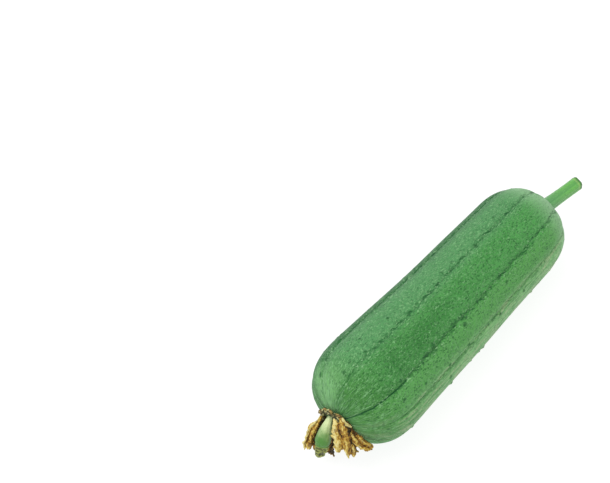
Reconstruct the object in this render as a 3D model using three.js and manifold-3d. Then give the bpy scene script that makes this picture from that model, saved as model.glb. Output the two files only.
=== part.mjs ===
import * as THREE from "three";
import Module from "manifold-3d";
import { mergeVertices } from "three/addons/utils/BufferGeometryUtils.js";
import { ParametricGeometry } from "three/addons/geometries/ParametricGeometry.js";

// A smooth ridge gourd, picked and lying on its side, in millimetres with +Z up.
// +X runs from the withered flower at the blossom end to the cut stem.
// While it is built, x is the distance from the blossom end and z the height over the surface.

// Fruit: its length, its half-width near each end, and how far it narrows between them
const LENGTH = 218;
const BLOSSOM_RADIUS = 37.5;
const STEM_RADIUS = 31.8;
const WAIST = 1.0;
// Each end closes over its own length: fullness and squareness shape that cap
const BLOSSOM_CAP = { length: 46.5, fullness: 3.2, squareness: 2.2 };
const STEM_CAP = { length: 34.4, fullness: 2.5, squareness: 2.55 };
// A slight sideways bow, and the depth of the flat spot that the fruit's weight gives it
const SIDE_BOW = 1.0;
const FLAT_SPOT = 0.9;

// Skin: dark lines run from end to end, each in a thin groove between two low lobes.
// Angles are in degrees round the fruit, from +Y over the top.
const LINE_ANGLES = [2, 42, 84, 129, 160.5, 194, 224, 252, 288, 321];
const LINE_TWIST = 6;
const LOBE_DEPTH = 0.9;
const LOBE_SHARPNESS = 2.5;
const GROOVE_DEPTH = 0.55;
const GROOVE_WIDTH = 0.9;
const GROOVE_EDGE = 2.4;
const UNEVENNESS = 0.3;

// Warts: low bumps in loose rows beside the lines, thickest towards the blossom end
const WART_COUNT = 84;
const WART_SEED = 41;
const WART_RADIUS = { least: 0.9, most: 1.5 };
const WART_HEIGHT = { least: 0.5, most: 0.9 };
const WART_SPREAD = 4.5;
const WART_CROWDING = 1.5;
const WART_FREE_END = 9;
const WART_FREE_ANGLE = 28;
// The larger warts, each with its distance from the blossom end, its angle and its half-width
const LARGE_WARTS = [
  [10, 41, 1.3], [19, 44, 1.4], [66, 46, 1.3], [38, 67, 1.2], [61, 72, 1.3], [32, 82, 1.2],
  [33, 127, 1.4], [66, 126, 1.9], [112, 128, 1.3], [53, 131, 1.3], [94, 135, 1.8], [139, 137, 1.3],
  [28, 144, 1.3], [47, 149, 1.3], [70, 157, 1.4], [90, 157, 1.4], [124, 163, 1.3], [68, 172, 1.4],
];

// Stem: a ribbed stalk cut off square, leaning to one side
const STEM_LENGTH = 36.4;
const STEM_LEAN = 6;
const STEM_FOOT_RADIUS = 6.4;
const STEM_WAIST_RADIUS = 4.7;
const STEM_CUT_RADIUS = 4.75;
const STEM_RIBS = 5;
const STEM_RIB_HEIGHT = 0.05;

// Flower remains: a dry calyx ring with five shrivelled petals, seen from the blossom end.
// Points are from the middle of the blossom end: along X, to the side and up. A petal's root is
// its angle on the ring, and faces is the way that the outer side of its blade looks.
const RING_RADIUS = 8.6;
const RING_DROP = 1.5;
const RING_THICKNESS = 1.9;
const RING_DEPTH = 1.4;
const RING_TEETH = 11;
const PETAL_THICKNESS = 1.1;
// A blade is gathered to a share of its width at its root and tapers by a share towards its tip
const PETALS = [
  {
    root: 2, over: [-10.7, 11.4, -8.6], tip: [-16, 7.5, -25.5], faces: [-5, -2, 8],
    width: 10, gather: 0.35, folds: 0.9, phase: 0.1, taper: 0.1,
  },
  {
    root: 100, over: [-6.2, -11.2, 7], tip: [-9.6, -14.5, -12.4], faces: [-7, -4, 6],
    width: 15, gather: 0.62, folds: 0.95, phase: 0.3, taper: 0,
  },
  {
    root: 146, over: [-2.8, -18.6, -3], tip: [2.3, -26.4, -8.9], faces: [-4, -5, 8],
    width: 7.6, gather: 0.6, folds: 0.7, phase: 0.8, taper: 0.25,
  },
  {
    root: 186, over: [-7.2, -17, -5.2], tip: [-5.2, -18.1, -16.6], faces: [-6, -6, 3],
    width: 9, gather: 0.6, folds: 0.8, phase: 0.25, taper: 0.15,
  },
  {
    root: 275, over: [-4.7, 4.5, -20.2], tip: [-7, -0.3, -29.7], faces: [-8, 3, -4],
    width: 13, gather: 0.55, folds: 1.3, phase: 0.65, taper: 0.1,
  },
];
// Share of a blade's length at which it is full
const PETAL_FULL = 0.55;
const PETAL_FOLD = 0.7;
const PETAL_CRUMPLE = 0.8;
const PETAL_CURL = 0.9;

// Style: the green column that the petals hang round, with the stigma's three lobes at its end
const STYLE_ROOT = [-0.8, 3.4, 0.7];
const STYLE_BEND = [-8.4, 1.8, -2.9];
const STYLE_TIP = [-15.6, 0.2, -25];
const STYLE_ROOT_RADIUS = 1.9;
const STYLE_FULL_RADIUS = 4.9;
const STYLE_SWELL = 1.7;
const STIGMA_START = 0.72;
const STIGMA_NARROWER = 0.22;
const STIGMA_LOBES = 3;

// Fineness of the facets, and the gap between pieces that touch
const LOBE_COLUMNS = [0.27, 0.5, 0.73];
const FRUIT_RINGS = 48;
const PETAL_COLUMNS = 9;
const PETAL_ROWS = 11;
const STEM_COLUMNS = 20;
const STYLE_COLUMNS = 18;
const GAP = 0.35;
const MERGE_DISTANCE = 0.01;

const wasm = await Module();
wasm.setup();

const COLUMNS_PER_LOBE = LOBE_COLUMNS.length + 3;
const FRUIT_COLUMNS = LINE_ANGLES.length * COLUMNS_PER_LOBE;

function degrees(angle) {
  return THREE.MathUtils.degToRad(angle);
}

// Share of the full half-width at a distance from a closed end
function capShare(distance, cap) {
  const remaining = 1 - Math.min(distance / cap.length, 1);
  return (1 - remaining ** cap.fullness) ** (1 / cap.squareness);
}

// Half-width as if neither end were closed
function barrelRadius(x) {
  const along = x / LENGTH;
  return THREE.MathUtils.lerp(BLOSSOM_RADIUS, STEM_RADIUS, along) - WAIST * 4 * along * (1 - along);
}

// Middle of the cross-section: low enough that the underside lies flat along the surface
function axisPoint(x) {
  const along = x / LENGTH;
  const side = SIDE_BOW * (0.5 - 4 * along * (1 - along));
  return new THREE.Vector3(x, side, barrelRadius(x) - FLAT_SPOT);
}

// The lines turn slightly round the fruit on their way to the stem
function lineAngle(index, x) {
  const turns = Math.floor(index / LINE_ANGLES.length);
  const start = LINE_ANGLES[index - turns * LINE_ANGLES.length] + 360 * turns;
  return start + LINE_TWIST * (0.45 - x / LENGTH);
}

// Depth of the skin below the full half-width: shallow valleys between lobes, and a groove in each
function skinDepth(x, angle) {
  let index = -1;
  while (lineAngle(index + 1, x) <= angle) index++;
  const before = lineAngle(index, x);
  const after = lineAngle(index + 1, x);
  const across = (angle - before) / (after - before);
  const valley = LOBE_DEPTH * Math.abs(2 * across - 1) ** LOBE_SHARPNESS;
  const off = degrees(Math.min(angle - before, after - angle)) * barrelRadius(x);
  const groove = GROOVE_DEPTH * Math.exp(-((off / GROOVE_WIDTH) ** 2));
  const swell = Math.sin(x / 21 + 2 * degrees(angle)) * Math.cos(x / 33 - 3 * degrees(angle));
  return valley + groove + UNEVENNESS * swell;
}

// Skin point at a distance along the fruit and an angle round it, flattened where it lies
function skinPoint(x, angle) {
  const share = capShare(x, BLOSSOM_CAP) * capShare(LENGTH - x, STEM_CAP);
  const radius = (barrelRadius(x) - skinDepth(x, angle)) * share;
  const point = axisPoint(x);
  point.y += radius * Math.cos(degrees(angle));
  point.z = Math.max(point.z + radius * Math.sin(degrees(angle)), 0);
  return point;
}

// Outward direction of the skin, from two short steps along it
function skinNormal(x, angle) {
  const step = 0.5;
  const along = skinPoint(x + step, angle).sub(skinPoint(x - step, angle));
  const round = skinPoint(x, angle + step).sub(skinPoint(x, angle - step));
  return round.cross(along).normalize();
}

// A column of facets stands on each line, on both edges of its groove and across each lobe
function columnAngle(column, x) {
  const index = Math.floor(column / COLUMNS_PER_LOBE);
  const before = lineAngle(index, x);
  const width = lineAngle(index + 1, x) - before;
  const edge = GROOVE_EDGE / width;
  return before + width * [0, edge, ...LOBE_COLUMNS, 1 - edge][column % COLUMNS_PER_LOBE];
}

// A lathe form whose points are then placed one by one, by ring and column
function placedLathe(profile, columns, place) {
  const geometry = new THREE.LatheGeometry(profile, columns);
  const position = geometry.getAttribute("position");
  for (let column = 0; column <= columns; column++) {
    profile.forEach((ring, index) => {
      const point = place(ring, column % columns);
      position.setXYZ(column * profile.length + index, point.x, point.y, point.z);
    });
  }
  return geometry;
}

// A closed geometry as a solid: shared points are merged and the poles' empty facets dropped
function toSolid(geometry) {
  const bare = new THREE.BufferGeometry();
  bare.setAttribute("position", geometry.getAttribute("position"));
  bare.setIndex(geometry.getIndex());
  const merged = mergeVertices(bare, MERGE_DISTANCE);
  const corners = merged.getIndex().array;
  const facets = [];
  for (let first = 0; first < corners.length; first += 3) {
    const [a, b, c] = corners.slice(first, first + 3);
    if (a !== b && b !== c && c !== a) facets.push(a, b, c);
  }
  return new wasm.Manifold(new wasm.Mesh({
    numProp: 3,
    vertProperties: new Float32Array(merged.getAttribute("position").array),
    triVerts: new Uint32Array(facets),
  }));
}

function toGeometry(solid) {
  const mesh = solid.getMesh();
  const geometry = new THREE.BufferGeometry();
  geometry.setAttribute("position", new THREE.BufferAttribute(mesh.vertProperties, 3));
  geometry.setIndex(new THREE.BufferAttribute(mesh.triVerts, 1));
  geometry.computeVertexNormals();
  return geometry;
}

// The largest piece of a fused solid, once points closer than the merge distance are one
function largestPiece(solid) {
  const pieces = toSolid(toGeometry(solid)).decompose();
  return pieces.reduce((best, piece) => (piece.volume() > best.volume() ? piece : best));
}

function skinMesh(name, solid, color, roughness) {
  const material = new THREE.MeshStandardMaterial({ color, roughness, metalness: 0 });
  const mesh = new THREE.Mesh(toGeometry(solid), material);
  mesh.name = name;
  return mesh;
}

// Repeatable draws between 0 and 1
function seededDraw(seed) {
  let state = seed;
  return () => {
    state = (Math.imul(state, 1664525) + 1013904223) >>> 0;
    return state / 2 ** 32;
  };
}

// Places and sizes of all warts: those drawn beside the lines, then the large ones
function wartPlaces() {
  const draw = seededDraw(WART_SEED);
  const between = (range) => THREE.MathUtils.lerp(range.least, range.most, draw());
  const places = [];
  for (let count = 0; count < WART_COUNT; count++) {
    const line = Math.floor(draw() * LINE_ANGLES.length);
    const x = WART_FREE_END + (LENGTH - 2 * WART_FREE_END) * draw() ** WART_CROWDING;
    const off = (draw() - draw()) * WART_SPREAD * 2;
    const radius = between(WART_RADIUS);
    const height = between(WART_HEIGHT);
    places.push({ x, angle: lineAngle(line, x) + off * 360 / (2 * Math.PI * BLOSSOM_RADIUS), radius, height });
  }
  for (const [x, angle, radius] of LARGE_WARTS) {
    places.push({ x, angle, radius, height: WART_HEIGHT.most });
  }
  return places.filter(({ angle }) => Math.abs(angle - 270) > WART_FREE_ANGLE);
}

// A low dome sunk into the skin, standing along the skin's outward direction
function wartSolid({ x, angle, radius, height }) {
  const dome = new THREE.SphereGeometry(1, 6, 4);
  dome.rotateX(Math.PI / 2);
  dome.scale(radius, radius, height + radius / 2);
  const outward = skinNormal(x, angle);
  const turn = new THREE.Quaternion().setFromUnitVectors(new THREE.Vector3(0, 0, 1), outward);
  dome.applyQuaternion(turn);
  const middle = skinPoint(x, angle).addScaledVector(outward, -radius / 2);
  dome.translate(middle.x, middle.y, middle.z);
  return toSolid(dome);
}

function fruitSolid() {
  const profile = [];
  for (let ring = 0; ring <= FRUIT_RINGS; ring++) {
    const x = LENGTH * (0.5 - 0.5 * Math.cos(Math.PI * ring / FRUIT_RINGS));
    profile.push(new THREE.Vector2(barrelRadius(x), x));
  }
  const skin = placedLathe(profile, FRUIT_COLUMNS, (ring, column) => (
    skinPoint(ring.y, columnAngle(column, ring.y))
  ));
  return largestPiece(wasm.Manifold.union([toSolid(skin), ...wartPlaces().map(wartSolid)]));
}

// A point beside a curve, at a share of its length, an angle round it and a distance off it
function beside(curve, share, angle, radius) {
  const forward = curve.getTangent(share);
  const side = new THREE.Vector3(0, 0, 1).cross(forward).normalize();
  const up = forward.clone().cross(side);
  return curve.getPoint(share)
    .addScaledVector(side, radius * Math.cos(angle))
    .addScaledVector(up, radius * Math.sin(angle));
}

function stemSolid() {
  const foot = axisPoint(LENGTH).add(new THREE.Vector3(GAP, 0, 0));
  const middle = foot.clone().add(new THREE.Vector3(STEM_LENGTH / 2, -STEM_LEAN * 0.55, 0));
  const cut = foot.clone().add(new THREE.Vector3(STEM_LENGTH - GAP, -STEM_LEAN, 0));
  const curve = new THREE.QuadraticBezierCurve3(foot, middle, cut);
  const profile = [
    new THREE.Vector2(0, 0),
    new THREE.Vector2(STEM_FOOT_RADIUS, 0),
    new THREE.Vector2(STEM_FOOT_RADIUS - 0.35, 0.05),
    new THREE.Vector2(STEM_WAIST_RADIUS + 0.55, 0.13),
    new THREE.Vector2(STEM_WAIST_RADIUS + 0.2, 0.28),
    new THREE.Vector2(STEM_WAIST_RADIUS, 0.46),
    new THREE.Vector2(STEM_WAIST_RADIUS - 0.1, 0.64),
    new THREE.Vector2(STEM_WAIST_RADIUS - 0.1, 0.82),
    new THREE.Vector2(STEM_CUT_RADIUS, 0.975),
    new THREE.Vector2(STEM_CUT_RADIUS - 0.3, 1),
    new THREE.Vector2(0, 1),
  ];
  return toSolid(placedLathe(profile, STEM_COLUMNS, (ring, column) => {
    const angle = 2 * Math.PI * column / STEM_COLUMNS;
    const rib = 1 + STEM_RIB_HEIGHT * Math.cos(STEM_RIBS * angle);
    const point = beside(curve, ring.y, angle, ring.x * rib);
    point.x = Math.max(point.x, foot.x);
    return point;
  }));
}

function blossomPoint([along, side, up]) {
  return axisPoint(0).add(new THREE.Vector3(along, side, up));
}

// The style swells from its root, then the stigma's lobes round it off; extra widens it all over
function styleSolid(extra) {
  const curve = new THREE.QuadraticBezierCurve3(
    blossomPoint(STYLE_ROOT), blossomPoint(STYLE_BEND), blossomPoint(STYLE_TIP),
  );
  const shares = [0, 0.1, 0.22, 0.34, 0.46, 0.58, 0.66, STIGMA_START, 0.79, 0.86, 0.93, 0.98, 1];
  const columnRadius = (share) => {
    const swell = Math.sin(Math.PI / 2 * Math.min(share / STIGMA_START, 1)) ** STYLE_SWELL;
    return THREE.MathUtils.lerp(STYLE_ROOT_RADIUS, STYLE_FULL_RADIUS, swell);
  };
  const stigmaShare = (share) => Math.max((share - STIGMA_START) / (1 - STIGMA_START), 0);
  const stigmaRadius = (share) => {
    const narrowed = 1 - STIGMA_NARROWER * Math.min(stigmaShare(share) * 3, 1);
    return columnRadius(share) * narrowed * (1 - stigmaShare(share) ** 3) ** 0.5;
  };
  const profile = [
    new THREE.Vector2(0, 0),
    ...shares.slice(0, -1).map((share) => new THREE.Vector2(stigmaRadius(share) + extra, share)),
    new THREE.Vector2(0, 1),
  ];
  return toSolid(placedLathe(profile, STYLE_COLUMNS, (ring, column) => {
    const angle = 2 * Math.PI * column / STYLE_COLUMNS;
    const lobes = 1 + 0.14 * Math.min(stigmaShare(ring.y) * 4, 1) * Math.cos(STIGMA_LOBES * angle);
    return beside(curve, ring.y, angle, ring.x * lobes);
  }));
}

// Where the blossom end's skin lies at a distance from its middle
function blossomFaceX(off) {
  const share = Math.min(off / BLOSSOM_RADIUS, 1);
  const closed = (1 - share ** BLOSSOM_CAP.squareness) ** (1 / BLOSSOM_CAP.fullness);
  return BLOSSOM_CAP.length * (1 - closed);
}

// Keeps a point of the dry flower off the fruit's skin
function clearOfFruit(point, clearance) {
  const centre = axisPoint(0);
  const off = Math.hypot(point.y - centre.y, point.z - centre.z);
  point.x = Math.min(point.x, blossomFaceX(off) - clearance);
  return point;
}

// A petal's midrib runs from the ring over a high point to its tip; the blade is cupped across it,
// folded lengthwise and crumpled more and more towards the tip
function petalPoint(petal, across, along, target) {
  const turn = degrees(petal.root);
  const root = blossomPoint([
    -RING_DEPTH, RING_RADIUS * Math.cos(turn), RING_RADIUS * Math.sin(turn) - RING_DROP,
  ]);
  const midrib = new THREE.QuadraticBezierCurve3(root, blossomPoint(petal.over), blossomPoint(petal.tip));
  const forward = midrib.getTangent(along);
  const side = forward.clone().cross(new THREE.Vector3(...petal.faces)).normalize();
  const outward = side.clone().cross(forward);
  const opened = Math.sin(Math.PI / 2 * Math.min(along / PETAL_FULL, 1));
  const spread = petal.gather + (1 - petal.gather) * opened - petal.taper * along ** 2;
  const half = petal.width / 2 * spread;
  const sidestep = 2 * across - 1;
  const cup = half * (Math.cos(PETAL_CURL * sidestep) - 1);
  const fold = PETAL_FOLD * Math.cos(2 * Math.PI * (petal.folds * sidestep + petal.phase));
  const crumple = PETAL_CRUMPLE * along * Math.sin(2 * Math.PI * (2.2 * along + sidestep + petal.phase));
  target.copy(midrib.getPoint(along));
  target.addScaledVector(side, half * Math.sin(PETAL_CURL * sidestep) / PETAL_CURL);
  target.addScaledVector(outward, cup + fold * (0.3 + 0.7 * along) + crumple);
  return clearOfFruit(target, PETAL_THICKNESS);
}

// A sheet given two faces and a rim, with the facets of both faces cut alike
function thickened(sheet, thickness) {
  const middle = sheet.getAttribute("position");
  const normal = sheet.getAttribute("normal");
  const count = middle.count;
  const points = new Float32Array(count * 6);
  for (let index = 0; index < count; index++) {
    const point = new THREE.Vector3().fromBufferAttribute(middle, index);
    const outward = new THREE.Vector3().fromBufferAttribute(normal, index);
    point.clone().addScaledVector(outward, thickness / 2).toArray(points, index * 3);
    point.clone().addScaledVector(outward, -thickness / 2).toArray(points, (index + count) * 3);
  }
  const front = sheet.getIndex().array;
  const edges = new Set();
  const facets = [];
  for (let first = 0; first < front.length; first += 3) {
    const [a, b, c] = front.slice(first, first + 3);
    facets.push(a, b, c, a + count, c + count, b + count);
    for (const [from, to] of [[a, b], [b, c], [c, a]]) edges.add(`${from} ${to}`);
  }
  for (const edge of edges) {
    const [from, to] = edge.split(" ").map(Number);
    if (edges.has(`${to} ${from}`)) continue;
    facets.push(to, from, from + count, to, from + count, to + count);
  }
  const geometry = new THREE.BufferGeometry();
  geometry.setAttribute("position", new THREE.BufferAttribute(points, 3));
  geometry.setIndex(facets);
  return geometry;
}

function petalSolid(petal) {
  const sheet = new ParametricGeometry((across, along, target) => (
    petalPoint(petal, across, along, target)
  ), PETAL_COLUMNS, PETAL_ROWS);
  sheet.computeVertexNormals();
  return toSolid(thickened(sheet, PETAL_THICKNESS));
}

// The calyx: a ring of withered teeth pressed against the blossom end
function calyxSolid() {
  const columns = RING_TEETH * 4;
  const corners = 6;
  const profile = [];
  for (let corner = 0; corner <= corners; corner++) {
    const turn = 2 * Math.PI * corner / corners;
    profile.push(new THREE.Vector2(Math.cos(turn), Math.sin(turn)));
  }
  const centre = axisPoint(0);
  return toSolid(placedLathe(profile, columns, (ring, column) => {
    const turn = 2 * Math.PI * column / columns;
    const tooth = 0.5 * Math.cos(RING_TEETH * turn) + 0.25 * Math.sin(3 * turn);
    const off = RING_RADIUS + ring.x * RING_THICKNESS + tooth;
    const point = centre.clone();
    point.x = -RING_DEPTH - GAP + ring.y * RING_DEPTH + 0.2 * tooth;
    point.y += off * Math.cos(turn);
    point.z += off * Math.sin(turn) - RING_DROP;
    return clearOfFruit(point, GAP);
  }));
}

function witheredFlowerSolid() {
  const joined = wasm.Manifold.union([calyxSolid(), ...PETALS.map(petalSolid)]);
  return largestPiece(joined.subtract(styleSolid(GAP)));
}

const gourd = new THREE.Group();
gourd.add(
  skinMesh("fruit", fruitSolid(), 0x4f8f52, 0.62),
  skinMesh("stem", stemSolid(), 0x72b06c, 0.55),
  skinMesh("withered_petals", witheredFlowerSolid(), 0xb98d45, 0.85),
  skinMesh("style_and_stigma", styleSolid(0), 0x6f9f56, 0.6),
);

// The origin is under the middle of the whole gourd's box, on the surface it lies on
const box = new THREE.Box3().setFromObject(gourd);
const middle = box.getCenter(new THREE.Vector3());
gourd.position.set(-middle.x, -middle.y, 0);

export default gourd;
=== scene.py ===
# %% [markdown]
# A picked gourd lies on its side on a pale table: a blunt green cylinder with thin dark lines
# from end to end, a cut stem at one end and the withered flower at the other. Each surface here
# is worked out with numpy, as a function of two parameters on a grid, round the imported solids.

# %% Load the solids and keep their box
import math
import bpy
import numpy as np
from mathutils import Matrix, Vector


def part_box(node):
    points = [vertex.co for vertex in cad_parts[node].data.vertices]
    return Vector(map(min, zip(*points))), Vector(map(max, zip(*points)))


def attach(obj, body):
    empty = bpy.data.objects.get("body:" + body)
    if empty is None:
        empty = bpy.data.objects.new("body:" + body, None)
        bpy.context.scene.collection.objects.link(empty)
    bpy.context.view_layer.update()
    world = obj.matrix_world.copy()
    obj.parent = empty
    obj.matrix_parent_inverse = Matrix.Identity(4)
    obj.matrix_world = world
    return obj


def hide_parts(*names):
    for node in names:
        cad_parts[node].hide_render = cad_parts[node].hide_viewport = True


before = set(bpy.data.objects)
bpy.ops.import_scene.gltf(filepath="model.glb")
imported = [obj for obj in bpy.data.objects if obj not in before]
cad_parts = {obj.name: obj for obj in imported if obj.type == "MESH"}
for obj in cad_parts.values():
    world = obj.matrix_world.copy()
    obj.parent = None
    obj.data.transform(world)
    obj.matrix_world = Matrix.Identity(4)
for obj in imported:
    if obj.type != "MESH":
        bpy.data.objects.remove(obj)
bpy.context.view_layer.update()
MM = 0.001
blossom_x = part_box("fruit")[0][0] / MM
stem_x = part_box("fruit")[1][0] / MM
print("fruit from", round(blossom_x, 1), "to", round(stem_x, 1), "mm along X")

# %% [markdown]
# The camera comes first, because every later choice is judged through it. It looks down on the
# gourd from the flower's side. The middle of the fruit, on the table, lies at a known pixel of
# the picture and at a known distance, and that is enough to place the camera.

# %% Camera
PICTURE = (610, 483)
AZIMUTH = -49.81
ELEVATION = 53.0
FOCAL_PIXELS = 1460.0
MIDDLE_PIXEL = (440.8, 338.2)
MIDDLE_DISTANCE = 963.2
SENSOR_WIDTH = 36.0


def camera_axes(azimuth, elevation):
    """Right, up and backward directions of a level camera that looks down at an elevation."""
    a = math.radians(azimuth)
    e = math.radians(elevation)
    back = Vector((math.sin(a) * math.cos(e), -math.cos(a) * math.cos(e), math.sin(e)))
    right = Vector((math.cos(a), math.sin(a), 0))
    return right, back.cross(right), back


def make_camera():
    """A pixel's offset from the picture's centre, times distance over focal length, is a step
    sideways or up. The camera steps the other way from the fruit's middle, and back by the
    distance."""
    right, up, back = camera_axes(AZIMUTH, ELEVATION)
    target = Vector(((blossom_x + stem_x) / 2, 0, 0))
    across = (MIDDLE_PIXEL[0] - PICTURE[0] / 2) / FOCAL_PIXELS * MIDDLE_DISTANCE
    down = (MIDDLE_PIXEL[1] - PICTURE[1] / 2) / FOCAL_PIXELS * MIDDLE_DISTANCE
    place = target + back * MIDDLE_DISTANCE - right * across + up * down
    data = bpy.data.cameras.new("camera")
    data.sensor_width = SENSOR_WIDTH
    data.lens = FOCAL_PIXELS * SENSOR_WIDTH / PICTURE[0]
    data.clip_end = 20
    camera = bpy.data.objects.new("camera", data)
    bpy.context.scene.collection.objects.link(camera)
    turn = Matrix((right, up, back)).transposed().to_4x4()
    camera.matrix_world = Matrix.Translation(place * MM) @ turn
    bpy.context.scene.camera = camera
    return camera


camera = make_camera()
print("camera", [round(c, 3) for c in camera.matrix_world.translation])

# %% [markdown]
# A soft white room: an even sky gives most of the light, and one wide lamp over the flower's
# side gives the skin its slight shape. The table is plain and nearly white, and glows a little
# so that only a faint shadow shows where the fruit lies.

# %% Light and table
SKY_STRENGTH = 0.58
LAMP_WATTS = 9.0
LAMP_PLACE = Vector((-0.35, 0.3, 1.2))
LAMP_SIZE = 0.9
TABLE_HALF = 3.0
TABLE_COLOUR = (0.2, 0.2, 0.2, 1)
TABLE_GLOW = 0.88


def make_light():
    """An even sky and one square lamp that faces the gourd."""
    world = bpy.data.worlds.new("studio")
    world.use_nodes = True
    background = world.node_tree.nodes["Background"]
    background.inputs["Color"].default_value = (1, 1, 1, 1)
    background.inputs["Strength"].default_value = SKY_STRENGTH
    bpy.context.scene.world = world
    data = bpy.data.lights.new("soft_lamp", "AREA")
    data.energy = LAMP_WATTS
    data.size = LAMP_SIZE
    lamp = bpy.data.objects.new("soft_lamp", data)
    bpy.context.scene.collection.objects.link(lamp)
    lamp.location = LAMP_PLACE
    lamp.rotation_euler = LAMP_PLACE.to_track_quat("Z", "Y").to_euler()
    bpy.context.scene.view_settings.view_transform = "Standard"


def make_table():
    """One wide square at height zero."""
    mesh = bpy.data.meshes.new("table")
    corners = [(-1, -1), (1, -1), (1, 1), (-1, 1)]
    mesh.from_pydata([(x * TABLE_HALF, y * TABLE_HALF, 0) for x, y in corners], [], [(0, 1, 2, 3)])
    table = bpy.data.objects.new("table", mesh)
    bpy.context.scene.collection.objects.link(table)
    material = bpy.data.materials.new("white_table")
    material.use_nodes = True
    shader = material.node_tree.nodes["Principled BSDF"]
    shader.inputs["Base Color"].default_value = TABLE_COLOUR
    shader.inputs["Roughness"].default_value = 0.9
    shader.inputs["Emission Color"].default_value = (1, 1, 1, 1)
    shader.inputs["Emission Strength"].default_value = TABLE_GLOW
    mesh.materials.append(material)


make_light()
make_table()
print("sky", SKY_STRENGTH, "lamp", LAMP_WATTS, "W")

# %% [markdown]
# The fruit is a barrel whose two ends close by their own curves. All lengths are in millimetres
# and x is counted from the blossom end, as a grower would measure it. The same few numbers as in
# the solid describe it, so the fine surface lies on the solid's.

# %% Fruit: its outline
LENGTH = stem_x - blossom_x
BLOSSOM_RADIUS = 37.5
STEM_RADIUS = 31.8
WAIST = 1.0
BLOSSOM_CAP = {"length": 46.5, "fullness": 3.2, "squareness": 2.2}
STEM_CAP = {"length": 34.4, "fullness": 2.5, "squareness": 2.55}
SIDE_BOW = 1.0
SIDE_SHIFT = 0.145
FLAT_SPOT = 0.9


def cap_share(distance, cap):
    """Share of the full half-width near a closed end: 1 - (1 - d / length) ** fullness, rooted."""
    remaining = 1 - np.minimum(distance / cap["length"], 1)
    return (1 - remaining ** cap["fullness"]) ** (1 / cap["squareness"])


def end_share(x):
    """Share of the full half-width that both ends together leave."""
    return cap_share(x, BLOSSOM_CAP) * cap_share(LENGTH - x, STEM_CAP)


def barrel_radius(x):
    """Half-width without the ends: a straight taper less a slight waist."""
    along = x / LENGTH
    taper = BLOSSOM_RADIUS + (STEM_RADIUS - BLOSSOM_RADIUS) * along
    return taper - WAIST * 4 * along * (1 - along)


def axis_side(x):
    """Sideways place of the fruit's middle: a slight bow, centred over the origin."""
    along = x / LENGTH
    return SIDE_SHIFT + SIDE_BOW * (0.5 - 4 * along * (1 - along))


def axis_height(x):
    """Height of the fruit's middle, low enough that its underside lies flat."""
    return barrel_radius(x) - FLAT_SPOT


print("half-width", round(float(barrel_radius(0)), 1), "mm at the flower,",
      round(float(barrel_radius(LENGTH)), 1), "mm at the stem")

# %% [markdown]
# Ten dark lines run from the flower to the stem. Each lies in a thin groove between two low
# lobes. The grid follows them: each lobe gets the same number of columns, so a column stands
# exactly on each line, and the distance to the nearest line is exact at every point.

# %% Fruit: the grid follows the lines
LINE_ANGLES = np.array([2, 42, 84, 129, 160.5, 194, 224, 252, 288, 321, 362])
LOBE_COUNT = len(LINE_ANGLES) - 1
LINE_TWIST = 6.0
TWIST_MIDDLE = 0.45
LINE_WANDER = 0.45
WANDER_LENGTH = 19
WANDER_SHIFT = 2.3
COLUMNS_PER_LOBE = 36
FRUIT_ROWS = 268
EVEN_SHARE = 0.45
EASED_SHARE = 0.55


def line_turn(x):
    """Degrees that all lines have turned at x: a slight twist from end to end."""
    return LINE_TWIST * (TWIST_MIDDLE - x / LENGTH)


def line_wander(line):
    """Degrees that a line sways from its own angle: a long sine wave with a shift for each line."""
    return LINE_WANDER * np.sin(fruit_x / WANDER_LENGTH + WANDER_SHIFT * line)


row_turn = np.linspace(0, math.pi, FRUIT_ROWS + 1)
even_row = LENGTH * row_turn / math.pi
eased_row = LENGTH * (0.5 - 0.5 * np.cos(row_turn))
fruit_x = (EVEN_SHARE * even_row + EASED_SHARE * eased_row)[:, None]
column = np.arange(COLUMNS_PER_LOBE * LOBE_COUNT)[None, :]
lobe = column // COLUMNS_PER_LOBE
across_lobe = (column % COLUMNS_PER_LOBE) / COLUMNS_PER_LOBE
lobe_width = np.diff(LINE_ANGLES)[lobe]
wander = line_wander(lobe) * (1 - across_lobe)
wander = wander + line_wander((lobe + 1) % LOBE_COUNT) * across_lobe
fruit_angle = LINE_ANGLES[lobe] + across_lobe * lobe_width + line_turn(fruit_x) + wander
print("grid", fruit_angle.shape, "widest lobe", lobe_width.max(), "degrees")

# %% Fruit: how far each point is from its line
second_half = across_lobe > 0.5
from_line = np.minimum(across_lobe, 1 - across_lobe) * lobe_width
line_distance = np.radians(from_line) * barrel_radius(fruit_x) * end_share(fruit_x)
line_side = np.where(second_half, -line_distance, line_distance)
nearest_line = (lobe + second_half) % LOBE_COUNT
print("furthest from a line", round(float(line_distance.max()), 1), "mm")

# %% [markdown]
# The warts are low bumps beside the lines, thickest towards the flower. The draw is seeded and
# is the same as the solid's, so the big ones sit where the solid has them, and a second draw adds
# many small ones. A draw is a simple congruence: multiply, add, keep the last 32 bits.

# %% Fruit: where the warts are
WART_COUNT = 84
WART_SEED = 41
WART_RADIUS = (0.9, 1.5)
WART_HEIGHT = (0.5, 0.9)
WART_SPREAD = 4.5
WART_CROWDING = 1.5
WART_FREE_END = 9
WART_FREE_ANGLE = 28
UNDERSIDE = 270
PIMPLE_COUNT = 260
PIMPLE_SEED = 7
PIMPLE_RADIUS = (0.55, 1.0)
PIMPLE_HEIGHT = (0.12, 0.32)
PIMPLE_CROWDING = 1.4
PIMPLE_FREE_END = 4
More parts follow.
